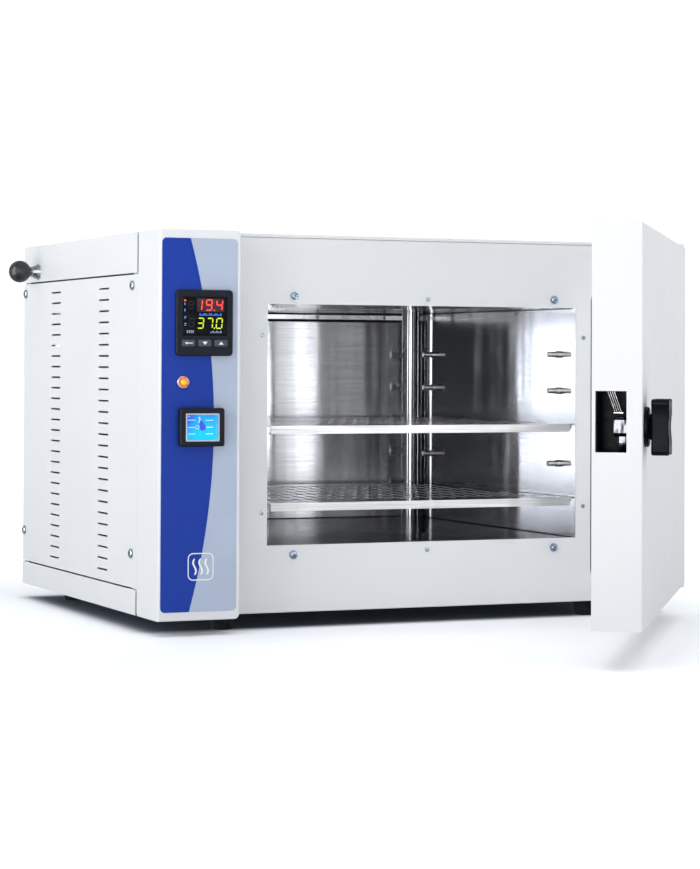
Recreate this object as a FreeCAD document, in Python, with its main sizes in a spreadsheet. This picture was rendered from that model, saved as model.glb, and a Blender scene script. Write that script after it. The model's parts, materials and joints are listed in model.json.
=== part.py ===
import FreeCAD, Part
import math
import os
import Sketcher
from FreeCAD import Placement, Rotation, Vector

# Bench-top laboratory incubator with a hinged insulated door, a control column and a
# stainless chamber.  Millimetres.  The pieces are drawn in the cabinet's own frame: X runs
# from the left side to the right, Y from the front face to the back, Z up from the underside
# of the body.  At the end everything is moved so that the origin is the middle of the
# footprint, on the surface that the feet stand on, and the door is swung open.

SIZES = (
    ("cabinet_width", 748),
    ("cabinet_depth", 541),
    ("face_height", 480),
    ("roof_height", 484.5),
    ("panel_wall", 2),
    ("seam_gap", 2.2),
    ("base_height", 31.6),
    ("cover_height", 51.5),
    ("column_width", 107.5),
    ("column_front", 54),
    ("column_back", 28),
    ("foot_height", 20),
    ("foot_radius", 15),
    ("opening_left", 165),
    ("opening_width", 447),
    ("opening_floor", 86),
    ("opening_height", 309),
    ("chamber_depth", 508),
    ("liner_wall", 1),
    ("cove_radius", 25),
    ("heater_gap", 3),
    ("wool_thickness", 27),
    ("door_width", 635.5),
    ("door_height", 453),
    ("door_thickness", 56.5),
    ("door_floor", 24.5),
    ("door_gap", 7.6),
    ("door_angle", 54.8),
    ("hinge_inset", 6),
    ("hinge_pin_radius", 3),
    ("running_clearance", 0.05),
    ("seal_height", 319.4),
    ("seal_width", 456),
    ("seal_depth", 7),
    ("seal_band", 10),
    ("handle_inset", 30),
    ("handle_height", 250),
    ("spindle_radius", 5),
    ("cam_reach", 38),
    ("window_width", 34.6),
    ("window_height", 68),
    ("shelf_width", 441),
    ("shelf_depth", 456),
    ("shelf_wall", 1.5),
    ("shelf_flange", 10.5),
    ("shelf_slot_width", 9),
    ("shelf_slot_length", 44),
    ("shelf_slot_pitch", 18.5),
    ("shelf_row_pitch", 62),
    ("peg_pitch", 49.5),
    ("peg_floor", 134.5),
    ("peg_length", 17.4),
    ("peg_radius", 3.6),
    ("peg_nut_radius", 4.7),
    ("vent_slot_length", 43),
    ("vent_slot_height", 2.4),
    ("vent_slot_pitch", 14.7),
    ("vent_slot_count", 26),
    ("damper_height", 447.3),
    ("damper_back", 470),
    ("damper_rod_radius", 3),
    ("knob_radius", 15.5),
    ("port_radius", 15),
    ("label_width", 100),
    ("label_height", 463),
    ("label_wall", 0.4),
    ("controller_width", 74.5),
    ("controller_height", 82),
    ("timer_width", 58),
    ("timer_height", 47.5),
)

doc = FreeCAD.newDocument("LaboratoryIncubator")
sheet = doc.addObject("Spreadsheet::Sheet", "Sizes")


def fill_sheet():
    """Write every driving dimension into the sheet, with its name beside it."""
    for row, (alias, number) in enumerate(SIZES, start=1):
        sheet.set("A%d" % row, alias)
        sheet.set("B%d" % row, str(number))
        sheet.setAlias("B%d" % row, alias)
    doc.recompute()


def size(alias):
    """Read one driving dimension from the sheet."""
    return float(sheet.get(alias))


fill_sheet()

WIDTH = size("cabinet_width")
DEPTH = size("cabinet_depth")
ROOF = size("roof_height")
WALL = size("panel_wall")
GAP = size("seam_gap")
BASE = size("base_height")
COVER_LOW = ROOF - size("cover_height")
COLUMN_X = size("column_width")
COLUMN_Y0 = -size("column_front")
COLUMN_Y1 = size("column_back")
OPEN_X0 = size("opening_left")
OPEN_X1 = OPEN_X0 + size("opening_width")
OPEN_Z0 = size("opening_floor")
OPEN_Z1 = OPEN_Z0 + size("opening_height")
CHAMBER_BACK = size("chamber_depth")
DOOR_X1 = WIDTH - 2
DOOR_X0 = DOOR_X1 - size("door_width")
DOOR_Y1 = -size("door_gap")
DOOR_Y0 = DOOR_Y1 - size("door_thickness")
DOOR_Z0 = size("door_floor")
DOOR_Z1 = DOOR_Z0 + size("door_height")
HINGE_X = DOOR_X1 - size("hinge_inset")
HINGE_Y = DOOR_Y0 + size("hinge_inset")
HANDLE_X = DOOR_X0 + size("handle_inset")
HANDLE_Z = size("handle_height")
SEAL_X0 = OPEN_X0 - 4
SEAL_Z0 = OPEN_Z0 - 6.2
DAMPER_Y = size("damper_back")
DAMPER_Z = size("damper_height")
PORT_X = 215.0
FASCIA_RETURN = 14.0
LARGE_SCREWS = ((201.5, 405.4), (578.5, 405.4), (201.5, 73.6), (578.5, 73.6))
SMALL_SCREWS = ((391, 403.2), (391, 75.2), (157.5, 355), (157.5, 128), (623, 355), (623, 128))
ALONG_X = Rotation(Vector(0, 1, 0), 90)
ALONG_Y = Rotation(Vector(1, 0, 0), -90)

pieces = []
door_nodes = set()


# ---------------------------------------------------------------- helpers

def set_sizes(obj, **properties):
    """Bind properties to expressions of the sheet's cells, or to plain numbers."""
    for name, value in properties.items():
        obj.setExpression(name, str(value))


def box(name, length, width, height, at):
    obj = doc.addObject("Part::Box", name)
    set_sizes(obj, Length=length, Width=width, Height=height)
    obj.Placement = Placement(Vector(*at), Rotation())
    return obj


def cylinder(name, radius, height, at, turn=Rotation()):
    obj = doc.addObject("Part::Cylinder", name)
    set_sizes(obj, Radius=radius, Height=height)
    obj.Placement = Placement(Vector(*at), turn)
    return obj


def cone(name, radius_a, radius_b, height, at, turn=Rotation()):
    obj = doc.addObject("Part::Cone", name)
    set_sizes(obj, Radius1=radius_a, Radius2=radius_b, Height=height)
    obj.Placement = Placement(Vector(*at), turn)
    return obj


def fuse(name, *shapes):
    obj = doc.addObject("Part::MultiFuse", name)
    obj.Shapes = list(shapes)
    obj.Refine = True
    return obj


def cut(name, base, *tools):
    tool = tools[0] if len(tools) == 1 else fuse(name + "_tools", *tools)
    obj = doc.addObject("Part::Cut", name)
    obj.Base = base
    obj.Tool = tool
    return obj


def common(name, first, second):
    obj = doc.addObject("Part::MultiCommon", name)
    obj.Shapes = [first, second]
    return obj


def fillet(name, base, rounds):
    """Round edges: rounds is a list of (radius, test), where test picks edges by their ends."""
    doc.recompute()
    chosen = []
    for index, edge in enumerate(base.Shape.Edges, start=1):
        for radius, test in rounds:
            if test(edge):
                chosen.append((index, radius, radius))
                break
    if not chosen:
        raise RuntimeError("no edge to round on " + name)
    obj = doc.addObject("Part::Fillet", name)
    obj.Base = base
    obj.Edges = chosen
    return obj


def edge_test(axis, **limits):
    """A test for straight edges along axis whose middle lies at the given x, y or z."""
    def test(edge):
        if len(edge.Vertexes) != 2:
            return False
        run = edge.Vertexes[1].Point - edge.Vertexes[0].Point
        if run.Length < 1e-6 or abs(abs(run.dot(axis)) / run.Length - 1) > 1e-6:
            return False
        middle = edge.CenterOfMass
        return all(abs(getattr(middle, key) - value) < 0.01 for key, value in limits.items())
    return test


X_AXIS = Vector(1, 0, 0)
Y_AXIS = Vector(0, 1, 0)
Z_AXIS = Vector(0, 0, 1)


def along(axis):
    return edge_test(axis)


def piece(node, obj, on_door=False):
    """Register obj as the sub-part of that name."""
    obj.Label = node
    pieces.append((node, obj))
    if on_door:
        door_nodes.add(node)
    return obj


def group(node, master, places, on_door=False):
    """Separate copies of one fastener, kept in one sub-part."""
    doc.recompute()
    copies = []
    for place in places:
        copy = master.Shape.copy()
        copy.Placement = place.multiply(copy.Placement)
        copies.append(copy)
    obj = doc.addObject("Part::Feature", node)
    obj.Shape = Part.makeCompound(copies)
    return piece(node, obj, on_door)


def new_body(name):
    return doc.addObject("PartDesign::Body", name)


def new_sketch(body, name, role="XY_Plane"):
    """A sketch attached to one of the body's own origin planes."""
    sketch = body.newObject("Sketcher::SketchObject", name)
    plane = [item for item in body.Origin.OriginFeatures if item.Role == role][0]
    sketch.AttachmentSupport = (plane, [""])
    sketch.MapMode = "FlatFace"
    return sketch


def lock(sketch, kind, name, expression, start, *where):
    """Add a named dimension to a sketch, starting from a value, and bind it to the sheet."""
    index = sketch.addConstraint(Sketcher.Constraint(kind, *where, float(start)))
    sketch.renameConstraint(index, name)
    sketch.setExpression("Constraints." + name, expression)


def rectangle(sketch, left, low, width, height, tag):
    """A fully constrained rectangle: left and low are numbers, width and height expressions."""
    first = sketch.GeometryCount
    corners = [Vector(left, low, 0), Vector(left + 10, low, 0),
               Vector(left + 10, low + 10, 0), Vector(left, low + 10, 0)]
    for number in range(4):
        sketch.addGeometry(Part.LineSegment(corners[number], corners[(number + 1) % 4]), False)
    for number in range(4):
        sketch.addConstraint(Sketcher.Constraint(
            "Coincident", first + number, 2, first + (number + 1) % 4, 1))
    for number, kind in enumerate(("Horizontal", "Vertical", "Horizontal", "Vertical")):
        sketch.addConstraint(Sketcher.Constraint(kind, first + number))
    lock(sketch, "DistanceX", tag + "_left", str(left), left, -1, 1, first, 1)
    lock(sketch, "DistanceY", tag + "_low", str(low), low, -1, 1, first, 1)
    lock(sketch, "DistanceX", tag + "_width", width, 10, first, 1, first, 2)
    lock(sketch, "DistanceY", tag + "_height", height, 10, first + 1, 1, first + 1, 2)


def pad(body, sketch, name, length, reverse=False):
    feature = body.newObject("PartDesign::Pad", name)
    feature.Profile = sketch
    feature.setExpression("Length", str(length))
    feature.Reversed = reverse
    doc.recompute()
    return feature


def pocket_through(body, sketch, name):
    """Cut a sketch right through the body, whichever way it faces."""
    before = body.Shape.Volume
    feature = body.newObject("PartDesign::Pocket", name)
    feature.Profile = sketch
    feature.Type = "ThroughAll"
    feature.Midplane = True
    doc.recompute()
    if feature.Shape.Volume >= before:
        raise RuntimeError(name + " cuts nothing")
    return feature


def outline(points):
    """A closed wire of straight edges in the order given."""
    return Part.makePolygon([Vector(*point) for point in points + points[:1]])


def slot_wire(centre_x, centre_y, long_side, radius):
    """A wire round a slot with half-round ends, its long side along Y."""
    half = long_side / 2 - radius
    left = centre_x - radius
    right = centre_x + radius
    low = centre_y - half
    high = centre_y + half
    edges = [
        Part.LineSegment(Vector(right, low, 0), Vector(right, high, 0)),
        Part.Arc(Vector(right, high, 0), Vector(centre_x, high + radius, 0), Vector(left, high, 0)),
        Part.LineSegment(Vector(left, high, 0), Vector(left, low, 0)),
        Part.Arc(Vector(left, low, 0), Vector(centre_x, low - radius, 0), Vector(right, low, 0)),
    ]
    return Part.Wire([edge.toShape() for edge in edges])


# ---------------------------------------------------------------- cabinet shell

def make_base_tray():
    """Open tray under the cabinet, notched where the column wraps the front left corner."""
    outer = box("base_outer", "Sizes.cabinet_width", "Sizes.cabinet_depth - Sizes.panel_wall - 0.1",
                "Sizes.base_height", (0, WALL + 0.1, 0))
    hollow = box("base_hollow", "Sizes.cabinet_width - 2 * Sizes.panel_wall",
                 "Sizes.cabinet_depth", "Sizes.base_height", (WALL, -WALL, WALL))
    notch = box("base_notch", "Sizes.column_width + 1.6", "Sizes.column_back + 2 * Sizes.seam_gap + 1",
                "Sizes.base_height + 2", (-1, -1, -1))
    piece("base_tray", cut("base_tray_cut", outer, hollow, notch))


def make_top_cover():
    """Roof plate with side and rear skirts and a narrow lip above the front face."""
    outer = box("cover_outer", "Sizes.cabinet_width", "Sizes.cabinet_depth",
                "Sizes.cover_height", (0, 0, COVER_LOW))
    rounded = fillet("cover_round", outer, [
        (1.5, edge_test(Y_AXIS, z=ROOF)),
        (1.5, edge_test(X_AXIS, z=ROOF)),
    ])
    hollow = box("cover_hollow", "Sizes.cabinet_width - 2 * Sizes.panel_wall",
                 "Sizes.cabinet_depth - 2 * Sizes.panel_wall", "Sizes.cover_height",
                 (WALL, WALL, COVER_LOW - WALL))
    front = box("cover_front_cut", "Sizes.cabinet_width + 2", "Sizes.panel_wall + 1",
                "Sizes.face_height - Sizes.roof_height + Sizes.cover_height + 1",
                (-1, -1, COVER_LOW - 0.8))
    notch = box("cover_notch", "Sizes.column_width + 1.6", "Sizes.column_back + 2 * Sizes.seam_gap + 1",
                "Sizes.cover_height + 2", (-1, -1, COVER_LOW - 1))
    port = cylinder("cover_port", "Sizes.port_radius + 4", 40, (PORT_X, DAMPER_Y, ROOF - 20))
    rod = cylinder("cover_rod_hole", "Sizes.damper_rod_radius + 3", 20, (-10, DAMPER_Y, DAMPER_Z),
                   ALONG_X)
    piece("top_cover", cut("top_cover_cut", rounded, hollow, front, notch, port, rod))


def make_side_panel(node, left):
    """Flat side panel with two columns of ventilation slots and four screw holes."""
    front = COLUMN_Y1 + 0.3 if left else FASCIA_RETURN + 0.6
    low = BASE + GAP
    body = new_body(node)
    sketch = new_sketch(body, node + "_outline", "YZ_Plane")
    rectangle(sketch, front, low, "Sizes.cabinet_depth - %s" % front,
              "Sizes.roof_height - Sizes.cover_height - Sizes.base_height - 2 * Sizes.seam_gap",
              "panel")
    pad(body, sketch, node + "_pad", "Sizes.panel_wall", not left)
    first_slot_z = 47.0
    for column, slot_front in enumerate((147.0, 362.0)):
        slot = new_sketch(body, "%s_slot_%d" % (node, column), "YZ_Plane")
        rectangle(slot, slot_front, first_slot_z, "Sizes.vent_slot_length",
                  "Sizes.vent_slot_height", "slot")
        pocket = pocket_through(body, slot, "%s_pocket_%d" % (node, column))
        pattern = body.newObject("PartDesign::LinearPattern", "%s_vents_%d" % (node, column))
        pattern.Originals = [pocket]
        pattern.Direction = (slot, ["V_Axis"])
        pattern.setExpression("Length", "Sizes.vent_slot_pitch * (Sizes.vent_slot_count - 1)")
        pattern.setExpression("Occurrences", "Sizes.vent_slot_count")
        body.Tip = pattern
        doc.recompute()
    for number, (hole_y, hole_z) in enumerate(side_screw_places()):
        hole = new_sketch(body, "%s_hole_%d" % (node, number), "YZ_Plane")
        hole.addGeometry(Part.Circle(Vector(hole_y, hole_z, 0), Z_AXIS, 2.6), False)
        pocket_through(body, hole, "%s_drill_%d" % (node, number))
    if not left:
        body.Placement = Placement(Vector(WIDTH, 0, 0), Rotation())
    piece(node, body)


def side_screw_places():
    """Height and depth of the four screws in a side panel."""
    return [(y, z) for y in (50.0, DEPTH - 9) for z in (77.0, 417.0)]


def make_rear_panel():
    """Back plate with a row of slots and the mains inlet cut-out."""
    body = new_body("rear_panel")
    sketch = new_sketch(body, "rear_outline", "XZ_Plane")
    rectangle(sketch, WALL + 0.2, BASE + GAP, "Sizes.cabinet_width - 2 * Sizes.panel_wall - 0.4",
              "Sizes.roof_height - Sizes.cover_height - Sizes.base_height - 2 * Sizes.seam_gap",
              "panel")
    pad(body, sketch, "rear_pad", "Sizes.panel_wall")
    opening = new_sketch(body, "inlet_cutout", "XZ_Plane")
    rectangle(opening, 46.0, 66.0, "28", "48", "inlet")
    pocket_through(body, opening, "inlet_pocket")
    slot = new_sketch(body, "rear_slot", "XZ_Plane")
    rectangle(slot, 46.0, 330.0, "Sizes.vent_slot_length", "Sizes.vent_slot_height", "slot")
    pocket = pocket_through(body, slot, "rear_slot_pocket")
    pattern = body.newObject("PartDesign::LinearPattern", "rear_vents")
    pattern.Originals = [pocket]
    pattern.Direction = (slot, ["V_Axis"])
    pattern.Length = 60
    pattern.Occurrences = 6
    body.Tip = pattern
    body.Placement = Placement(Vector(0, DEPTH, 0), Rotation())
    doc.recompute()
    piece("rear_panel", body)


def make_fascia():
    """Front plate with the chamber opening and folded returns along its outer edges."""
    width = "Sizes.cabinet_width - Sizes.column_width - 0.2"
    outer = box("fascia_outer", width, FASCIA_RETURN, "Sizes.face_height - 0.2", (COLUMN_X + 0.2, 0, 0.1))
    rounded = fillet("fascia_round", outer, [
        (1.5, edge_test(Z_AXIS, x=WIDTH, y=0)),
        (1.5, edge_test(X_AXIS, y=0)),
    ])
    hollow = box("fascia_hollow", "Sizes.cabinet_width - Sizes.column_width - 2 * Sizes.panel_wall",
                 30, "Sizes.face_height", (COLUMN_X, WALL, -1))
    opening = box("fascia_opening", "Sizes.opening_width", 60, "Sizes.opening_height",
                  (OPEN_X0, -20, OPEN_Z0))
    below = box("fascia_relief", "Sizes.cabinet_width", 30, "Sizes.base_height + 1",
                (COLUMN_X - 1, WALL, -1))
    above = box("fascia_relief_top", "Sizes.cabinet_width", 30, 60, (COLUMN_X - 1, WALL, COVER_LOW - 1))
    holes = fascia_holes("fascia_hole", -5, 12)
    piece("front_fascia", cut("fascia_cut", rounded, hollow, opening, below, above, *holes))


def screw_holes(name, points, radius, start, length):
    """Clearance holes along Y, at points given as x and z."""
    return [cylinder("%s_%d" % (name, number), radius, length, (x, start, z), ALONG_Y)
            for number, (x, z) in enumerate(points)]


def fascia_holes(name, start, length):
    """Holes for every screw in the front face."""
    return (screw_holes(name + "_large", LARGE_SCREWS, 2.7, start, length)
            + screw_holes(name + "_small", SMALL_SCREWS, 1.7, start, length))


def make_corner_posts():
    """Folded angle posts that the panels are screwed to."""
    post_height = "Sizes.roof_height - 2 * Sizes.panel_wall - 1"
    posts = []
    corners = ((WALL + 0.3, 32, 1, 1), (WALL + 0.3, DEPTH - WALL - 0.3, 1, -1),
               (WIDTH - WALL - 0.3, 17, -1, 1), (WIDTH - WALL - 0.3, DEPTH - WALL - 0.3, -1, -1))
    arm = 20
    for number, (x, y, way_x, way_y) in enumerate(corners):
        x0 = x if way_x > 0 else x - arm
        y0 = y if way_y > 0 else y - arm
        outer = box("post_outer_%d" % number, arm, arm, post_height, (x0, y0, WALL + 0.1))
        inner = box("post_inner_%d" % number, arm, arm, 600,
                    (x0 + 2 * way_x, y0 + 2 * way_y, -10))
        drills = [cylinder("post_hole_%d_%d" % (number, n), 2.7, 60, (x0 - 20, hole_y, hole_z), ALONG_X)
                  for n, (hole_y, hole_z) in enumerate(side_screw_places())]
        posts.append(cut("post_%d" % number, outer, inner, *drills))
    piece("corner_posts", compound("corner_posts_set", posts))


def compound(name, objects):
    obj = doc.addObject("Part::Compound", name)
    obj.Links = list(objects)
    return obj


def make_feet():
    """Rubber foot: a tapered puck with a rounded lower edge."""
    puck = cone("foot_puck", "Sizes.foot_radius - 1.5", "Sizes.foot_radius", "Sizes.foot_height",
                (0, 0, -size("foot_height")))
    rounded = fillet("foot_round", puck, [
        (2.0, lambda edge: abs(edge.CenterOfMass.z + size("foot_height")) < 0.01
         and len(edge.Vertexes) == 1),
    ])
    places = [Placement(Vector(x, y, 0), Rotation())
              for x, y in ((113, 22), (636, 22), (56, 470), (692, 470))]
    group("rubber_feet", rounded, places)


# ---------------------------------------------------------------- fasteners

def make_screw(name, head_radius, head_height, shank_radius, shank_length):
    """Domed cross-recess screw: the head rises along -Y from Y = 0, the shank runs along +Y."""
    head = cylinder(name + "_head", head_radius, head_height, (0, -head_height, 0), ALONG_Y)
    domed = fillet(name + "_dome", head, [
        (head_height * 0.7, lambda edge: abs(edge.CenterOfMass.y + head_height) < 0.01
         and len(edge.Vertexes) == 1),
    ])
    shank = cylinder(name + "_shank", shank_radius, shank_length, (0, 0, 0), ALONG_Y)
    solid = fuse(name + "_solid", domed, shank)
    long_arm = head_radius * 1.1
    thin_arm = head_radius * 0.22
    depth = head_height * 0.55
    flat = box(name + "_recess_a", long_arm, depth * 2, thin_arm,
               (-long_arm / 2, -head_height - depth, -thin_arm / 2))
    upright = box(name + "_recess_b", thin_arm, depth * 2, long_arm,
                  (-thin_arm / 2, -head_height - depth, -long_arm / 2))
    screw = cut(name, solid, flat, upright)
    return screw


def turned(point, turn_deg, rotation=Rotation()):
    """A place for a screw, spun about its own axis so that the recesses differ."""
    spin = Rotation(Y_AXIS, turn_deg)
    return Placement(Vector(*point), rotation.multiply(spin))


def make_fasteners():
    """Screws and washers of the front face and of the side panels."""
    large = make_screw("large_screw", 4.4, 3.0, 2.4, 12)
    small = make_screw("small_screw", 2.9, 1.6, 1.4, 8)
    side = make_screw("side_screw", 6.3, 3.0, 2.3, 9)
    washer = cut("washer_master",
                 cylinder("washer_disc", 5.8, 1, (0, -1, 0), ALONG_Y),
                 cylinder("washer_bore", 2.6, 4, (0, -2, 0), ALONG_Y))
    group("fascia_washers", washer, [turned((x, -0.02, z), 0) for x, z in LARGE_SCREWS])
    group("fascia_large_screws", large,
          [turned((x, -1.04, z), 20 + 37 * n) for n, (x, z) in enumerate(LARGE_SCREWS)])
    places = [turned((x, -0.02, z), 15 + 29 * n) for n, (x, z) in enumerate(SMALL_SCREWS)]
    places += [turned(spot, 40 * n) for n, spot in enumerate(strip_screw_places())]
    group("small_screws", small, places)
    facing_left = Rotation(Z_AXIS, -90)
    facing_right = Rotation(Z_AXIS, 90)
    places = []
    for number, (y, z) in enumerate(side_screw_places()):
        places.append(turned((-0.02, y, z), 25 + 31 * number, facing_left))
        places.append(turned((WIDTH + 0.02, y, z), 10 + 23 * number, facing_right))
    group("side_panel_screws", side, places)


# ---------------------------------------------------------------- chamber

def make_chamber_liner():
    """Stainless box, open at the front, with wide coves up its rear corners."""
    depth = CHAMBER_BACK - WALL - 0.2
    inner = box("liner_inner", "Sizes.opening_width", depth + 20, "Sizes.opening_height",
                (OPEN_X0, WALL + 0.2 - 20, OPEN_Z0))
    outer = box("liner_outer", "Sizes.opening_width + 2 * Sizes.liner_wall",
                "Sizes.chamber_depth - Sizes.panel_wall - 0.2 + Sizes.liner_wall",
                "Sizes.opening_height + 2 * Sizes.liner_wall",
                (OPEN_X0 - 1, WALL + 0.2, OPEN_Z0 - 1))
    rear_inner = edge_test(Z_AXIS, y=CHAMBER_BACK)
    rear_outer = edge_test(Z_AXIS, y=CHAMBER_BACK + size("liner_wall"))
    inner_round = fillet("liner_inner_round", inner, [(size("cove_radius"), rear_inner)])
    outer_round = fillet("liner_outer_round", outer,
                         [(size("cove_radius") + size("liner_wall"), rear_outer)])
    flange = box("liner_flange", "Sizes.opening_width + 32", 1.2, "Sizes.opening_height + 42",
                 (OPEN_X0 - 16, WALL + 0.2, OPEN_Z0 - 21))
    shell = fuse("liner_shell", outer_round, flange)
    port = cylinder("liner_port", "Sizes.port_radius", 40, (PORT_X, DAMPER_Y, OPEN_Z1 - 20))
    probe = cylinder("liner_probe_hole", 4, 40, (300, 470, OPEN_Z1 - 20))
    holes = fascia_holes("liner_hole", 0, 8)
    holes += screw_holes("liner_strip_hole", strip_holes(), 1.7, CHAMBER_BACK - 8, 16)
    piece("chamber_liner", cut("liner_cut", shell, inner_round, port, probe, *holes))


def make_rear_strip():
    """Bar with small screws along the top of the chamber's rear wall, on a thin web."""
    length = size("opening_width") - 2 * size("cove_radius") - 6
    start = OPEN_X0 + size("cove_radius") + 3
    bar = box("strip_bar", length, 5.4, 6.4, (start, CHAMBER_BACK - 7, OPEN_Z1 - 9.8))
    web = box("strip_web", length, 2, 3.4, (start, CHAMBER_BACK - 2.1, OPEN_Z1 - 8.3))
    holes = screw_holes("strip_hole", strip_holes(), 1.7, CHAMBER_BACK - 8, 16)
    strip = cut("strip_cut", fuse("strip_fuse", bar, web), *holes)
    piece("rear_wall_strip", strip)


def strip_holes():
    """The strip's screw positions as x and z."""
    return [(x, z) for x, y, z in strip_screw_places()]


def strip_screw_places():
    """Four small screws spread along the strip on the rear wall."""
    start = OPEN_X0 + size("cove_radius") + 33
    reach = size("opening_width") - 2 * size("cove_radius") - 66
    return [(start + n * reach / 3, CHAMBER_BACK - 7.02, OPEN_Z1 - 6.6) for n in range(4)]


def make_pegs():
    """Shelf support pegs: a round nut on the wall and a smooth pin for the shelf."""
    pin = cylinder("peg_pin", "Sizes.peg_radius", "Sizes.peg_length", (0, 0, 0), ALONG_X)
    nut = cylinder("peg_nut", "Sizes.peg_nut_radius", 5.1, (0, 0, 0), ALONG_X)
    rounded_pin = fillet("peg_pin_round", pin, [
        (0.5, lambda edge: edge.CenterOfMass.x > size("peg_length") - 1
         and len(edge.Vertexes) == 1),
    ])
    rounded_nut = fillet("peg_nut_round", nut, [
        (0.7, lambda edge: edge.CenterOfMass.x > 5 and len(edge.Vertexes) == 1),
    ])
    master = fuse("peg_master", rounded_pin, rounded_nut)
    places = []
    for wall_x, turn in ((OPEN_X0 + 0.02, 0), (OPEN_X1 - 0.02, 180)):
        for level in range(5):
            for y in (48, 448):
                spot = Vector(wall_x, y, size("peg_floor") + level * size("peg_pitch"))
                places.append(Placement(spot, Rotation(Z_AXIS, turn)))
    group("shelf_pegs", master, places)


def make_shelf(node, level):
    """Perforated tray with a folded front flange and a low rear fold."""
    width = size("shelf_width")
    depth = size("shelf_depth")
    deck_wall = size("shelf_wall")
    radius = size("shelf_slot_width") / 2
    pitch = size("shelf_slot_pitch")
    row_pitch = size("shelf_row_pitch")
    side = 2.5
    rim = outline([(side, 0, 0), (width - side, 0, 0), (width - side, depth, 0), (side, depth, 0)])
    holes = []
    rows = int((depth - 30) // row_pitch)
    columns = int((width - 36) // pitch)
    for row in range(rows):
        shift = pitch / 2 * (row % 2)
        y = depth / 2 + (row - (rows - 1) / 2) * row_pitch
        for column in range(columns):
            x = width / 2 + (column - columns / 2 + 0.25) * pitch + shift
            holes.append(slot_wire(x, y, size("shelf_slot_length"), radius))
    sheet_face = Part.makeFace([rim] + holes, "Part::FaceMakerBullseye")
    deck_shape = sheet_face.extrude(Vector(0, 0, deck_wall))
    deck = doc.addObject("Part::Feature", node + "_deck")
    deck.Shape = deck_shape
    front = box(node + "_front", "Sizes.shelf_width - 8", "Sizes.shelf_wall",
                "Sizes.shelf_flange", (4, 0, deck_wall - size("shelf_flange")))
    lip = box(node + "_lip", "Sizes.shelf_width - 8", 8, "Sizes.shelf_wall",
              (4, 0, deck_wall - size("shelf_flange")))
    rear = box(node + "_rear", "Sizes.shelf_width - 60", "Sizes.shelf_wall",
               "Sizes.shelf_flange - 3", (30, depth - deck_wall, deck_wall - size("shelf_flange") + 3))
    tray = fuse(node + "_tray", deck, front, lip, rear)
    top_of_peg = size("peg_floor") + level * size("peg_pitch") + size("peg_radius")
    left = OPEN_X0 + (size("opening_width") - width) / 2
    tray.Placement = Placement(Vector(left, 4.0, top_of_peg + 0.02), Rotation())
    piece(node, tray)


def make_insulation():
    """Mineral wool jacket round the liner, with room for the heating mats."""
    gap = size("heater_gap")
    wool = size("wool_thickness")
    back = size("liner_wall") + gap
    outer = box("wool_outer", "Sizes.opening_width + 2 * (Sizes.wool_thickness + Sizes.heater_gap)",
                DEPTH - WALL - 1 - 4, "Sizes.opening_height + 2 * Sizes.wool_thickness + 4",
                (OPEN_X0 - wool - gap, 4, OPEN_Z0 - wool - 2))
    inner = box("wool_inner", "Sizes.opening_width + 2 * (Sizes.liner_wall + Sizes.heater_gap)",
                CHAMBER_BACK + back, "Sizes.opening_height + 2 * (Sizes.liner_wall + Sizes.heater_gap)",
                (OPEN_X0 - back, 0, OPEN_Z0 - back))
    port = cylinder("wool_port", "Sizes.port_radius + 3.5", 100, (PORT_X, DAMPER_Y, OPEN_Z1 - 10))
    probe = cylinder("wool_probe_hole", 5, 100, (300, 470, OPEN_Z1 - 10))
    holes = fascia_holes("wool_hole", 0, 30)
    holes += screw_holes("wool_strip_hole", strip_holes(), 2.2, CHAMBER_BACK - 8, 24)
    piece("insulation_jacket", cut("wool_cut", outer, inner, port, probe, *holes))


def make_heaters():
    """Flat heating mats bonded outside the liner's two sides and floor."""
    offset = size("liner_wall") + 0.2
    thickness = 2.0
    left = box("mat_left", thickness, 380, 240, (OPEN_X0 - offset - thickness, 60, OPEN_Z0 + 35))
    right = box("mat_right", thickness, 380, 240, (OPEN_X1 + offset, 60, OPEN_Z0 + 35))
    floor = box("mat_floor", 360, 380, thickness, (OPEN_X0 + 43, 60, OPEN_Z0 - offset - thickness))
    piece("heating_mats", compound("heating_mats_set", [left, right, floor]))


def make_probe():
    """Temperature probe: a thin sheath that hangs through the ceiling, with its gland."""
    sheath = cylinder("probe_sheath", 2.5, 75, (300, 470, OPEN_Z1 - 45))
    gland = cylinder("probe_gland", 3.8, 12, (300, 470, OPEN_Z1 - 3))
    piece("temperature_probe", fuse("probe_fuse", sheath, gland))


# ---------------------------------------------------------------- damper

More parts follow.
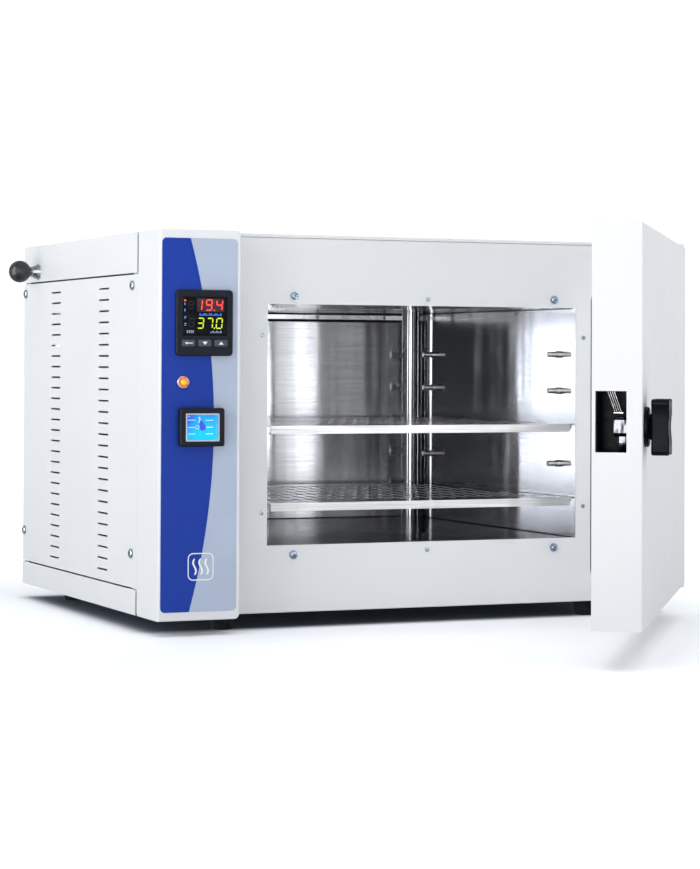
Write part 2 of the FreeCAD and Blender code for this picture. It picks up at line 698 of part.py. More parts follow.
def make_damper():
    """Air damper: vent duct with a guide block, slide plate, pull rod, knob and collar."""
    block_low = DAMPER_Z - 8
    duct = cylinder("duct_tube", "Sizes.port_radius + 2", ROOF + 8 - OPEN_Z1 - 1.2,
                    (PORT_X, DAMPER_Y, OPEN_Z1 + 1.2))
    block = box("duct_block", 64, 58, 16, (PORT_X - 32, DAMPER_Y - 29, block_low))
    bore = cylinder("duct_bore", "Sizes.port_radius", 200, (PORT_X, DAMPER_Y, OPEN_Z1 - 10))
    slot = box("duct_slot", 120, 46, 2.4, (PORT_X - 60, DAMPER_Y - 23, DAMPER_Z - 1.2))
    piece("vent_duct", cut("duct_cut", fuse("duct_body", duct, block), bore, slot))

    plate = box("plate_blank", 104, 44, 1.6, (PORT_X - 60, DAMPER_Y - 22, DAMPER_Z - 0.8))
    hole = cylinder("plate_hole", "Sizes.port_radius - 1", 10, (PORT_X + 28, DAMPER_Y, DAMPER_Z - 5))
    lug = box("plate_lug", 12, 14, 10, (PORT_X - 72, DAMPER_Y - 7, DAMPER_Z - 5))
    rod_seat = cylinder("plate_rod_seat", "Sizes.damper_rod_radius", 20,
                        (PORT_X - 80, DAMPER_Y, DAMPER_Z), ALONG_X)
    piece("damper_plate", cut("plate_cut", fuse("plate_body", plate, lug), hole, rod_seat))

    piece("damper_rod", cylinder("rod_solid", "Sizes.damper_rod_radius", PORT_X - 62 + 24,
                                 (-24, DAMPER_Y, DAMPER_Z), ALONG_X))

    ball = doc.addObject("Part::Sphere", "knob_ball")
    set_sizes(ball, Radius="Sizes.knob_radius")
    knob_x = -12.2 - size("knob_radius")
    ball.Placement = Placement(Vector(knob_x, DAMPER_Y, DAMPER_Z), Rotation())
    bore_tool = cylinder("knob_bore", "Sizes.damper_rod_radius", 60, (-24, DAMPER_Y, DAMPER_Z), ALONG_X)
    piece("damper_knob", cut("knob_cut", ball, bore_tool))

    skirt = cone("collar_cone", 11.5, 7, 10, (-0.02, DAMPER_Y, DAMPER_Z), Rotation(Y_AXIS, -90))
    tip = cylinder("collar_tip", 7, 1.6, (-11.6, DAMPER_Y, DAMPER_Z), ALONG_X)
    flutes = []
    for number in range(8):
        angle = math.radians(45 * number + 22.5)
        spot = (-5, DAMPER_Y + 12.8 * math.sin(angle), DAMPER_Z + 12.8 * math.cos(angle))
        flutes.append(cylinder("collar_flute_%d" % number, 3.4, 14, (spot[0] - 7, spot[1], spot[2]),
                               ALONG_X))
    rod_bore = cylinder("collar_bore", "Sizes.damper_rod_radius + Sizes.running_clearance", 60,
                        (-30, DAMPER_Y, DAMPER_Z), ALONG_X)
    piece("damper_collar", cut("collar_cut", fuse("collar_body", skirt, tip), rod_bore, *flutes))


# ---------------------------------------------------------------- control column

CONTROLLER_X = 20.5
CONTROLLER_Z = 327.6
TIMER_X = 24.4
TIMER_Z = 215.5
LAMP_X = 30.9
LAMP_Z = 295.0


def make_column():
    """Box-shaped shell of the control column, open at the back, with its cut-outs."""
    outer = box("column_outer", "Sizes.column_width", "Sizes.column_front + Sizes.column_back",
                "Sizes.roof_height", (0, COLUMN_Y0, 0))
    rounded = fillet("column_round", outer, [
        (6, edge_test(Y_AXIS, x=COLUMN_X)),
        (2, edge_test(Z_AXIS, x=0, y=COLUMN_Y0)),
        (2, edge_test(Z_AXIS, x=COLUMN_X, y=COLUMN_Y0)),
        (2, edge_test(X_AXIS, y=COLUMN_Y0)),
        (5, edge_test(X_AXIS, y=COLUMN_Y1)),
    ])
    hollow = box("column_hollow", "Sizes.column_width - 2 * Sizes.panel_wall",
                 "Sizes.column_front + Sizes.column_back + 10",
                 "Sizes.roof_height - 4 * Sizes.panel_wall",
                 (WALL, COLUMN_Y0 + WALL, 2 * WALL))
    controller = box("column_controller_hole", "Sizes.controller_width - 6", 20,
                     "Sizes.controller_height - 6", (CONTROLLER_X + 3, COLUMN_Y0 - 8, CONTROLLER_Z + 3))
    lamp = cylinder("column_lamp_hole", 6.2, 30, (LAMP_X, COLUMN_Y0 - 10, LAMP_Z), ALONG_Y)
    timer = box("column_timer_hole", "Sizes.timer_width - 8", 20, "Sizes.timer_height - 8",
                (TIMER_X + 4, COLUMN_Y0 - 8, TIMER_Z + 4))
    strike = box("column_strike_hole", 20, 20, 40, (COLUMN_X - 10, -48, HANDLE_Z - 20))
    piece("control_column", cut("column_cut", rounded, hollow, controller, lamp, timer, strike))


def make_strike():
    """Strike plate behind the column's right wall, which the door's cam catches."""
    plate = box("strike_blank", 2.5, 34, 70, (COLUMN_X - WALL - 2.6, -51, HANDLE_Z - 35))
    slot = box("strike_slot", 20, 13, 34, (COLUMN_X - 15, -46, HANDLE_Z - 17))
    piece("strike_plate", cut("strike_cut", plate, slot))


def make_label():
    """Thin printed overlay on the column's front, cut out round the instruments."""
    wall = size("label_wall")
    y = COLUMN_Y0 - wall - 0.01
    blank = box("label_blank", "Sizes.label_width", "Sizes.label_wall", "Sizes.label_height",
                (2.8, y, 10.8))
    rounded = fillet("label_round", blank, [(6, along(Y_AXIS))])
    controller = box("label_controller_hole", "Sizes.controller_width - 6", 20,
                     "Sizes.controller_height - 6", (CONTROLLER_X + 3, y - 5, CONTROLLER_Z + 3))
    lamp = cylinder("label_lamp_hole", 6.2, 20, (LAMP_X, y - 5, LAMP_Z), ALONG_Y)
    timer = box("label_timer_hole", "Sizes.timer_width - 8", 20, "Sizes.timer_height - 8",
                (TIMER_X + 4, y - 5, TIMER_Z + 4))
    piece("front_overlay", cut("label_cut", rounded, controller, lamp, timer))


PANEL_Y = COLUMN_Y0 - size("label_wall") - 0.03
KEY_WIDTH = 17.4
KEY_HEIGHT = 8.6
KEY_LEFTS = (7.0, 28.4, 49.8)


def make_controller():
    """Temperature controller: bezel, case, smoked window, keypad mat and three keys."""
    thickness = 5.0
    front = PANEL_Y - thickness
    bezel = box("bezel_blank", "Sizes.controller_width", thickness, "Sizes.controller_height",
                (CONTROLLER_X, front, CONTROLLER_Z))
    rounded = fillet("bezel_round", bezel, [
        (5, along(Y_AXIS)),
    ])
    soft = fillet("bezel_soft", rounded, [
        (1.2, lambda edge: abs(edge.CenterOfMass.y - front) < 0.01
         and abs(edge.BoundBox.YMax - front) < 0.01),
    ])
    window = box("bezel_window_hole", 58.6, 20, 48.6,
                 (CONTROLLER_X + 8, front - 5, CONTROLLER_Z + 25.0))
    keys = [box("bezel_key_hole_%d" % n, KEY_WIDTH + 0.7, 20, KEY_HEIGHT + 0.7,
                (CONTROLLER_X + left - 0.35, front - 5, CONTROLLER_Z + 11.6 - 0.35))
            for n, left in enumerate(KEY_LEFTS)]
    piece("controller_bezel", cut("bezel_cut", soft, window, *keys))

    case = box("case_blank", "Sizes.controller_width - 8", 44, "Sizes.controller_height - 8",
               (CONTROLLER_X + 4, PANEL_Y + 2.4 + 0.3, CONTROLLER_Z + 4))
    case_hollow = box("case_hollow", "Sizes.controller_width - 12", 40, "Sizes.controller_height - 12",
                      (CONTROLLER_X + 6, PANEL_Y + 0.7, CONTROLLER_Z + 6))
    case_shell = cut("case_shell", case, case_hollow)
    piece("controller_case", case_shell)

    glass = box("window_blank", 58, 1.5, 48, (CONTROLLER_X + 8.3, front + 0.6, CONTROLLER_Z + 25.3))
    piece("controller_window", glass)

    mat_y = PANEL_Y - 0.35
    mat = box("mat_blank", 64, 1.2, 14, (CONTROLLER_X + 5, mat_y + 0.45, CONTROLLER_Z + 8.9))
    piece("keypad_mat", mat)

    for node, left in zip(("key_set", "key_down", "key_up"), KEY_LEFTS):
        cap = box(node + "_cap", KEY_WIDTH, 3.0, KEY_HEIGHT,
                  (CONTROLLER_X + left, front - 0.9, CONTROLLER_Z + 11.6))
        cap_round = fillet(node + "_round", cap, [
            (1.2, along(Y_AXIS)),
        ])
        piece(node, cap_round)


def make_lamp():
    """Pilot lamp: metal ring with a threaded barrel, and a domed orange lens."""
    ring = cylinder("lamp_ring", 8, 2.2, (LAMP_X, PANEL_Y - 2.2, LAMP_Z), ALONG_Y)
    ring_round = fillet("lamp_ring_round", ring, [
        (1.0, lambda edge: abs(edge.CenterOfMass.y - PANEL_Y + 2.2) < 0.01
         and len(edge.Vertexes) == 1),
    ])
    barrel = cylinder("lamp_barrel", 5.9, 26, (LAMP_X, PANEL_Y, LAMP_Z), ALONG_Y)
    seat = cylinder("lamp_seat", 5.4, 8, (LAMP_X, PANEL_Y - 6, LAMP_Z), ALONG_Y)
    piece("lamp_ring", cut("lamp_ring_cut", fuse("lamp_body", ring_round, barrel), seat))
    stem = cylinder("lens_stem", 5.3, 4, (LAMP_X, PANEL_Y - 2.3, LAMP_Z), ALONG_Y)
    dome = doc.addObject("Part::Sphere", "lens_dome")
    dome.Radius = 7.0
    dome.Placement = Placement(Vector(LAMP_X, PANEL_Y + 2.25, LAMP_Z), Rotation())
    front_half = cylinder("lens_front", 5.3, 12, (LAMP_X, PANEL_Y - 14.3, LAMP_Z), ALONG_Y)
    cap = common("lens_cap", dome, front_half)
    piece("lamp_lens", fuse("lens_fuse", stem, cap))


def make_timer():
    """Second display: a raised black frame with a sloping recess and a small screen."""
    depth = 11.0
    front = PANEL_Y - depth
    frame = box("timer_blank", "Sizes.timer_width", depth, "Sizes.timer_height",
                (TIMER_X, front, TIMER_Z))
    rounded = fillet("timer_round", frame, [
        (3, along(Y_AXIS)),
    ])
    soft = fillet("timer_soft", rounded, [
        (1.2, lambda edge: abs(edge.BoundBox.YMax - front) < 0.01),
    ])
    recess = box("timer_recess", 44.6, 30, 35, (TIMER_X + 6.8, front - 27, TIMER_Z + 6.2))
    rear = box("timer_rear_hollow", "Sizes.timer_width - 10", 30, "Sizes.timer_height - 10",
               (TIMER_X + 5, front + 5.4, TIMER_Z + 5))
    through = box("timer_through", 42, 30, 32, (TIMER_X + 8.1, front - 5, TIMER_Z + 7.7))
    piece("timer_frame", cut("timer_cut", soft, recess, rear, through))
    screen = box("timer_glass", 46, 1.6, 36, (TIMER_X + 6, front + 5.6, TIMER_Z + 5.7))
    piece("timer_screen", screen)
    back = box("timer_back", "Sizes.timer_width - 10.6", 26, "Sizes.timer_height - 10.6",
               (TIMER_X + 5.3, front + 7.6, TIMER_Z + 5.3))
    piece("timer_case", back)


def make_electrics():
    """Boards and power parts in the column and the bay beside the chamber."""
    board = box("board_blank", 84, 1.6, 150, (12, 8, 40))
    chips = [box("board_chip_%d" % n, w, 6, h, (x, 2.0, z))
             for n, (x, z, w, h) in enumerate(((20, 60, 24, 30), (56, 60, 18, 18),
                                               (22, 120, 40, 24), (70, 130, 16, 40)))]
    piece("control_board", fuse("board_fuse", board, *chips))

    supply = box("supply_block", 78, 120, 60, (20, 180, 4))
    fins = [box("supply_fin_%d" % n, 3, 120, 12, (26 + 11 * n, 180, 64)) for n in range(6)]
    piece("power_supply", fuse("supply_fuse", supply, *fins))

    relay = box("relay_block", 46, 60, 28, (30, 340, 4))
    sink = [box("relay_fin_%d" % n, 46, 3, 20, (30, 344 + 12 * n, 32)) for n in range(5)]
    piece("heater_relay", fuse("relay_fuse", relay, *sink))

    strip = box("terminal_block_base", 90, 22, 24, (14, 90, 4))
    screws = [cylinder("terminal_screw_%d" % n, 3, 4, (24 + 14 * n, 101, 28)) for n in range(6)]
    piece("terminal_block", fuse("terminal_fuse", strip, *screws))


def make_inlet():
    """Mains inlet at the back: flange, body with the socket, and three contact blades."""
    flange = box("inlet_flange", 50, 2.5, 58, (35, DEPTH + 0.02, 61))
    rounded = fillet("inlet_flange_round", flange, [(4, along(Y_AXIS))])
    body = box("inlet_body", 27, 34, 47, (46.5, DEPTH - 33.9, 66.5))
    socket = box("inlet_socket", 17, 20, 24.5, (51.5, DEPTH - 14, 80))
    socket_round = fillet("inlet_socket_round", socket, [(3, along(Y_AXIS))])
    blades = [box("inlet_blade_%d" % n, 2, 10, 4, (x, DEPTH - 16, z))
              for n, (x, z) in enumerate(((59, 96), (55, 86), (63, 86)))]
    housing = cut("inlet_housing", fuse("inlet_solid", rounded, body), socket_round)
    piece("mains_inlet", fuse("inlet_fuse", housing, *blades))


def make_loom():
    """Wiring loom from the inlet forward to the terminal block."""
    bend = 20.0
    start = Vector(60, DEPTH - 34.2, 76)
    corner = Vector(60, 430, 76)
    low = Vector(112, 430, 76)
    end = Vector(112, 60, 76)

    def straight(a, b):
        return Part.LineSegment(a, b).toShape()

    def arc(before, at, after):
        into = (at - before).normalize()
        out = (after - at).normalize()
        first = at - into * bend
        last = at + out * bend
        middle = at + (out - into) * (bend * (1 - math.sqrt(0.5)))
        return first, Part.Arc(first, middle, last).toShape(), last

    a0, arc0, a1 = arc(start, corner, low)
    b0, arc1, b1 = arc(corner, low, end)
    path = Part.Wire([straight(start, a0), arc0, straight(a1, b0), arc1, straight(b1, end)])
    ring = Part.Wire([Part.Circle(start, Vector(0, -1, 0), 4).toShape()])
    tube = path.makePipeShell([ring], True, False)
    loom = doc.addObject("Part::Feature", "wiring_loom")
    loom.Shape = tube
    piece("wiring_loom", loom)


# ---------------------------------------------------------------- door

def make_door_shell():
    """Painted outer shell, open at the back, with the cam window in its free edge."""
    outer = box("door_outer", "Sizes.door_width", "Sizes.door_thickness", "Sizes.door_height",
                (DOOR_X0, DOOR_Y0, DOOR_Z0))
    rounded = fillet("door_round", outer, [
        (1.6, edge_test(Z_AXIS, y=DOOR_Y0)),
        (1.6, edge_test(X_AXIS, y=DOOR_Y0)),
    ])
    hollow = box("door_hollow", "Sizes.door_width - 2 * Sizes.panel_wall", "Sizes.door_thickness",
                 "Sizes.door_height - 2 * Sizes.panel_wall",
                 (DOOR_X0 + WALL, DOOR_Y0 + WALL, DOOR_Z0 + WALL))
    window = box("door_window", 20, "Sizes.window_width", "Sizes.window_height",
                 (DOOR_X0 - 10, DOOR_Y1 - 4.1 - size("window_width"), HANDLE_Z - 28))
    spindle = cylinder("door_spindle_hole", 9.1, 20, (HANDLE_X, DOOR_Y0 - 10, HANDLE_Z), ALONG_Y)
    bush_low = cylinder("door_bush_hole_low", 3.97, 20, (HINGE_X, HINGE_Y, DOOR_Z0 - 10))
    bush_high = cylinder("door_bush_hole_high", 3.97, 20, (HINGE_X, HINGE_Y, DOOR_Z1 - 10))
    piece("door_shell", cut("door_cut", rounded, hollow, window, spindle, bush_low, bush_high), True)


def make_door_inside():
    """Inner panel, raised pad, gasket and the insulation between the two skins."""
    panel = box("door_panel_blank", "Sizes.door_width - 2 * Sizes.panel_wall - 0.2",
                "Sizes.panel_wall", "Sizes.door_height - 2 * Sizes.panel_wall - 0.2",
                (DOOR_X0 + WALL + 0.1, DOOR_Y1 - WALL, DOOR_Z0 + WALL + 0.1))
    piece("door_inner_panel", panel, True)

    inset = size("seal_band") + 1.5
    pad_blank = box("pad_blank", "Sizes.seal_width - 2 * Sizes.seal_band - 3", 5,
                    "Sizes.seal_height - 2 * Sizes.seal_band - 3",
                    (SEAL_X0 + inset, DOOR_Y1 + 0.02, SEAL_Z0 + inset))
    rounded = fillet("pad_round", pad_blank, [(10, along(Y_AXIS))])
    top = DOOR_Y1 + 5.02
    piece("door_inner_pad", fillet("pad_soft", rounded, [
        (2.5, lambda edge: abs(edge.BoundBox.YMin - top) < 0.01),
    ]), True)

    seal = box("seal_blank", "Sizes.seal_width", "Sizes.seal_depth", "Sizes.seal_height",
               (SEAL_X0, DOOR_Y1 + 0.02, SEAL_Z0))
    seal_round = fillet("seal_round", seal, [(14, along(Y_AXIS))])
    hole = box("seal_hole", "Sizes.seal_width - 2 * Sizes.seal_band", 30,
               "Sizes.seal_height - 2 * Sizes.seal_band",
               (SEAL_X0 + size("seal_band"), DOOR_Y1 - 10, SEAL_Z0 + size("seal_band")))
    hole_round = fillet("seal_hole_round", hole, [(6, along(Y_AXIS))])
    frame = cut("seal_cut", seal_round, hole_round)
    face = DOOR_Y1 + 0.02 + size("seal_depth")
    piece("door_gasket", fillet("seal_soft", frame, [
        (2.5, lambda edge: abs(edge.BoundBox.YMin - face) < 0.01),
    ]), True)

    block = box("door_wool_blank", "Sizes.door_width - 2 * Sizes.panel_wall - 1",
                "Sizes.door_thickness - 2 * Sizes.panel_wall - 1",
                "Sizes.door_height - 2 * Sizes.panel_wall - 1",
                (DOOR_X0 + WALL + 0.5, DOOR_Y0 + WALL + 0.5, DOOR_Z0 + WALL + 0.5))
    pocket = box("door_wool_pocket", 80, 80, 110, (DOOR_X0 - 10, DOOR_Y0 - 5, HANDLE_Z - 55))
    bushes = [cylinder("door_wool_bush_%d" % n, 5, 30, (HINGE_X, HINGE_Y, z))
              for n, z in enumerate((DOOR_Z0 - 5, DOOR_Z1 - 25))]
    piece("door_insulation", cut("door_wool_cut", block, pocket, *bushes), True)


def make_latch():
    """Latch in the door's free edge: case, spindle with cam, detent spring, rose and grip."""
    case_y1 = DOOR_Y1 - 4.3
    case_y0 = DOOR_Y1 - 42.5
    case = box("case_outer", 50, case_y1 - case_y0, 92, (DOOR_X0 + WALL + 0.1, case_y0, HANDLE_Z - 46))
    case_inside = box("case_inside", 60, case_y1 - case_y0 - 2.4, 89.6,
                      (DOOR_X0 - 11.1, case_y0 + 1.2, HANDLE_Z - 44.8))
    spindle_hole = cylinder("case_spindle_hole", 6, 20, (HANDLE_X, case_y0 - 10, HANDLE_Z), ALONG_Y)
    piece("latch_case", cut("latch_case_cut", case, case_inside, spindle_hole), True)

    rose_top = DOOR_Y0 - 5.0
    rose = cylinder("rose_disc", 22.5, 5, (HANDLE_X, rose_top, HANDLE_Z), ALONG_Y)
    rose_round = fillet("rose_round", rose, [
        (2.2, lambda edge: abs(edge.CenterOfMass.y - rose_top) < 0.01 and len(edge.Vertexes) == 1),
    ])
    spigot = cylinder("rose_spigot", 9, 9, (HANDLE_X, DOOR_Y0 - 0.5, HANDLE_Z), ALONG_Y)
    rose_bore = cylinder("rose_bore", "Sizes.spindle_radius + Sizes.running_clearance", 60,
                         (HANDLE_X, DOOR_Y0 - 30, HANDLE_Z), ALONG_Y)
    piece("handle_rose", cut("rose_cut", fuse("rose_body", rose_round, spigot), rose_bore), True)

    cam_y0 = DOOR_Y1 - 38.4
    cam_y1 = DOOR_Y1 - 22.8
    spindle_length = cam_y1 - (DOOR_Y0 - 21)
    spindle = cylinder("spindle_rod", "Sizes.spindle_radius", spindle_length,
                       (HANDLE_X, DOOR_Y0 - 21, HANDLE_Z), ALONG_Y)
    piece("handle_spindle", spindle, True)

    hub = box("cam_hub", 22, cam_y1 - cam_y0, 22, (HANDLE_X - 11, cam_y0, HANDLE_Z - 11))
    hub_round = fillet("cam_hub_round", hub, [(5, along(Y_AXIS))])
    piece("latch_cam", make_cam(hub_round, cam_y0), True)

    make_detent_spring(cam_y0, cam_y1)
    make_grip(rose_top)


def make_cam(hub_round, cam_y0):
    """Cam hub with a tapered nose that points down while the door is unlatched."""
    reach = size("cam_reach")
    body = new_body("cam_nose")
    sketch = new_sketch(body, "cam_nose_outline", "XZ_Plane")
    corners = [Vector(-7, 0, 0), Vector(-7, -18, 0), Vector(-3.4, -reach + 0.4, 0),
               Vector(3.4, -reach + 0.4, 0), Vector(7, -18, 0), Vector(7, 0, 0)]
    count = len(corners)
    for number in range(count):
        sketch.addGeometry(Part.LineSegment(corners[number], corners[(number + 1) % count]), False)
        sketch.addConstraint(Sketcher.Constraint("Block", number))
    pad(body, sketch, "cam_nose_pad", 8)
    doc.recompute()
    shift = cam_y0 + 2 - body.Shape.BoundBox.YMin
    body.Placement = Placement(Vector(HANDLE_X, shift, HANDLE_Z), Rotation())
    bore = cylinder("cam_bore", "Sizes.spindle_radius", 60, (HANDLE_X, cam_y0 - 20, HANDLE_Z), ALONG_Y)
    return cut("cam_cut", fuse("cam_body", hub_round, body), bore)


def make_detent_spring(cam_y0, cam_y1):
    """Two hairpins of round wire, hung from a post at the top, that steady the cam."""
    wire = 0.6
    wires = []
    top_z = HANDLE_Z + 42
    low_z = HANDLE_Z + 15.5
    for number, offset in enumerate((0.0, 2.4, 4.8, 7.2)):
        top = Vector(HANDLE_X - 9, DOOR_Y1 - 15 - offset, top_z)
        low = Vector(HANDLE_X - 7, DOOR_Y1 - 24 - offset, low_z)
        run = low - top
        rod = cylinder("spring_leg_%d" % number, wire, run.Length, top, Rotation(Z_AXIS, run))
        wires.append(rod)
    bars = []
    for number, (x, y, z) in enumerate(((HANDLE_X - 9, DOOR_Y1 - 23.9, top_z),
                                        (HANDLE_X - 7, DOOR_Y1 - 32.9, low_z))):
        bars.append(cylinder("spring_bar_%d" % number, wire + 0.8, 10.6, (x, y, z), ALONG_Y))
    piece("detent_spring", fuse("spring_fuse", *(wires + bars)), True)


def make_grip(rose_top):
    """Four-lobed grip with hollowed sides on a short neck."""
    body = new_body("grip_lobes")
    sketch = new_sketch(body, "grip_outline", "XZ_Plane")
    half_x = 26.0
    half_z = 35.5
    hollow = 7.0
    neck_length = 3.4
    corners = [Vector(half_x, half_z, 0), Vector(-half_x, half_z, 0),
               Vector(-half_x, -half_z, 0), Vector(half_x, -half_z, 0)]
    for number in range(4):
        first = corners[number]
        last = corners[(number + 1) % 4]
        middle = (first + last) * 0.5
        inward = Vector(-middle.x, -middle.y, 0).normalize()
        sketch.addGeometry(Part.Arc(first, middle + inward * hollow, last), False)
    pad(body, sketch, "grip_pad", 20)
    low = rose_top - neck_length - 20.0
    doc.recompute()
    body.Placement = Placement(Vector(HANDLE_X, low - body.Shape.BoundBox.YMin, HANDLE_Z), Rotation())
    doc.recompute()
    lobes = fillet("grip_lobes_round", body, [(5, lambda edge: edge_is_along_y(edge))])
    soft = fillet("grip_soft", lobes, [
        (2.0, lambda edge: edge.BoundBox.YLength < 0.01 and not edge_is_along_y(edge)),
    ])
    neck = cone("grip_neck", 14, 15.5, neck_length, (HANDLE_X, rose_top - 0.4, HANDLE_Z),
                Rotation(X_AXIS, 90))
    dish = doc.addObject("Part::Sphere", "grip_dish")
    dish.Radius = 110
    dish.Placement = Placement(Vector(HANDLE_X, low - 107.4, HANDLE_Z), Rotation())
    bore = cylinder("grip_bore", "Sizes.spindle_radius", 60, (HANDLE_X, DOOR_Y0 - 21, HANDLE_Z), ALONG_Y)
    piece("handle_grip", cut("grip_cut", fuse("grip_body", soft, neck), bore, dish), True)


def edge_is_along_y(edge):
    if len(edge.Vertexes) != 2:
        return False
    run = edge.Vertexes[1].Point - edge.Vertexes[0].Point
    return run.Length > 1 and abs(run.normalize().y) > 0.999


def make_hinges():
    """Hinge brackets on the front face, their pins, and the nylon bushes in the door."""
    brackets = []
    pins = []
    bushes = []
    for side, plate_z, leg_low, leg_high, pin_z, bush_z in (
            ("top", DOOR_Z1 + 1.2, DOOR_Z1 - 22, DOOR_Z1 + 4.2, DOOR_Z1 - 10.8, DOOR_Z1 - 12),
            ("bottom", DOOR_Z0 - 4.2, DOOR_Z0 - 22, DOOR_Z0 - 1.2, DOOR_Z0 - 4.2, DOOR_Z0 - 0.6)):
        arm = box("hinge_arm_" + side, 12, -HINGE_Y - 0.02, 3, (HINGE_X - 6, HINGE_Y, plate_z))
        nose = cylinder("hinge_nose_" + side, 6, 3, (HINGE_X, HINGE_Y, plate_z))
        leg = box("hinge_leg_" + side, 26, 3, leg_high - leg_low, (HINGE_X - 19, -3.02, leg_low))
        hole = cylinder("hinge_hole_" + side, "Sizes.hinge_pin_radius", 20,
                        (HINGE_X, HINGE_Y, plate_z - 8))
        brackets.append(cut("hinge_bracket_" + side, fuse("hinge_body_" + side, arm, nose, leg), hole))
        pins.append(cylinder("hinge_pin_" + side, "Sizes.hinge_pin_radius", 15,
                             (HINGE_X, HINGE_Y, pin_z)))
        tube = cylinder("bush_tube_" + side, 3.95, 12.6, (HINGE_X, HINGE_Y, bush_z))
        bore = cylinder("bush_bore_" + side, "Sizes.hinge_pin_radius + Sizes.running_clearance", 20,
                        (HINGE_X, HINGE_Y, bush_z - 1))
        bushes.append(cut("hinge_bush_" + side, tube, bore))
    piece("hinge_brackets", compound("hinge_brackets_set", brackets))
    piece("hinge_pins", compound("hinge_pins_set", pins))
    piece("hinge_bushes", compound("hinge_bushes_set", bushes), True)


# ---------------------------------------------------------------- assembly

def build_all():
    make_base_tray()
    make_top_cover()
    make_side_panel("side_panel_left", True)
    make_side_panel("side_panel_right", False)
    make_rear_panel()
    make_fascia()
    make_corner_posts()
    make_feet()
    make_fasteners()
    make_chamber_liner()
    make_rear_strip()
    make_pegs()
    make_shelf("shelf_upper", 2)
    make_shelf("shelf_lower", 0)
    make_insulation()
    make_heaters()
    make_probe()
    make_damper()
    make_column()
    make_strike()
    make_label()
    make_controller()
    make_lamp()
    make_timer()
    make_electrics()
    make_inlet()
    make_loom()
    make_door_shell()
    make_door_inside()
    make_latch()
    make_hinges()
    doc.recompute()


def place_all():
    """Swing the door open, then move the origin to the middle of the footprint."""
    hinge = Vector(HINGE_X, HINGE_Y, 0)
    swing = Placement(Vector(), Rotation(Z_AXIS, size("door_angle")), hinge)
    for node, obj in pieces:
        if node in door_nodes:
            obj.Placement = swing.multiply(obj.Placement)
    doc.recompute()
    bounds = FreeCAD.BoundBox()
    for node, obj in pieces:
        bounds.add(obj.Shape.optimalBoundingBox(False))
    middle = Vector((bounds.XMin + bounds.XMax) / 2, (bounds.YMin + bounds.YMax) / 2, bounds.ZMin)
    shift = Placement(middle * -1, Rotation())
    for node, obj in pieces:
        obj.Placement = shift.multiply(obj.Placement)
    doc.recompute()
    return middle


def check_document():
    """Stop on any failed object or unusable shape."""
    for obj in doc.Objects:
        if "Invalid" in obj.State or "Error" in obj.State:
            raise RuntimeError("%s is in state %s" % (obj.Name, obj.State))
    for node, obj in pieces:
        shape = obj.Shape
        if shape.isNull() or not shape.isValid() or shape.Volume <= 0:
            raise RuntimeError("sub-part %s has no usable shape" % node)


def write_parts():
    os.makedirs("parts", exist_ok=True)
    for node, obj in pieces:
        obj.Shape.exportStep("parts/%s.step" % node)


build_all()
origin = place_all()
check_document()
write_parts()
print("origin of the cabinet frame: %.3f %.3f %.3f" % (-origin.x, -origin.y, -origin.z))
print("%d sub-parts" % len(pieces))
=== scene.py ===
"""Looks of a bench-top laboratory incubator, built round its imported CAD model.

Drawing data is in millimetres in the cabinet's own frame: x to the right from the cabinet's left
side, y back from its front face, z up from its underside. mm() turns it into the row frame's metres.
"""

import json
import math

import bmesh
import bpy
from mathutils import Matrix, Vector


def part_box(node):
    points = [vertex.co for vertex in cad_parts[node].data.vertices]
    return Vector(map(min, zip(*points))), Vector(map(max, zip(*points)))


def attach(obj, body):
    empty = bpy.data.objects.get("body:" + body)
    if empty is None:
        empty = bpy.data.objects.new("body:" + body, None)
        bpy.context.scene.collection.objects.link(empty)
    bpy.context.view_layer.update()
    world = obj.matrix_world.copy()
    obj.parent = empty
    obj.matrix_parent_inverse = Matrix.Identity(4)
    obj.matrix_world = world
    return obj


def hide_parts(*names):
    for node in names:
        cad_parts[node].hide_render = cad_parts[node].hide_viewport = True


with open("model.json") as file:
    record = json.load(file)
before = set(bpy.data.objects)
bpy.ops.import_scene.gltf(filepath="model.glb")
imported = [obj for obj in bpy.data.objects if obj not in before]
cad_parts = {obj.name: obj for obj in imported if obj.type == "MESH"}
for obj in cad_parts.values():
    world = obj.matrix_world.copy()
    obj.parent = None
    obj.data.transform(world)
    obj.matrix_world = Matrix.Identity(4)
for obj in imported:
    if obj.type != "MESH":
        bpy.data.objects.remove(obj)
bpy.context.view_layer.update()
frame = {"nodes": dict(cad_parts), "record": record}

COLUMN_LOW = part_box("control_column")[0]
FASCIA_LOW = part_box("front_fascia")[0]
ORIGIN = Vector((COLUMN_LOW.x, FASCIA_LOW.y, COLUMN_LOW.z))
MILLIMETRE = 0.001


def mm(x, y, z):
    """A point given in the cabinet's millimetres, as a point of the row frame in metres."""
    return ORIGIN + Vector((x, y, z)) * MILLIMETRE


def millimetre_box(node):
    """The corners of a CAD node in the cabinet's millimetres."""
    low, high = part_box(node)
    return (low - ORIGIN) * 1000, (high - ORIGIN) * 1000


def new_object(name, data):
    """An object of some data, linked to the scene."""
    made = bpy.data.objects.new(name, data)
    bpy.context.scene.collection.objects.link(made)
    return made


# ---------------------------------------------------------------- camera and studio

CAMERA_PLACE = (-1026.8, -3009.9, 320.3)
YAW = math.radians(23.46)
PITCH = math.radians(1.13)
ROLL = math.radians(0.25)
SENSOR_WIDTH = 36.0
FOCAL_SHARE = 2.9121  # focal length over the sensor's width
VERTICAL_SHIFT = -0.1403
FAR_CLIP = 100.0


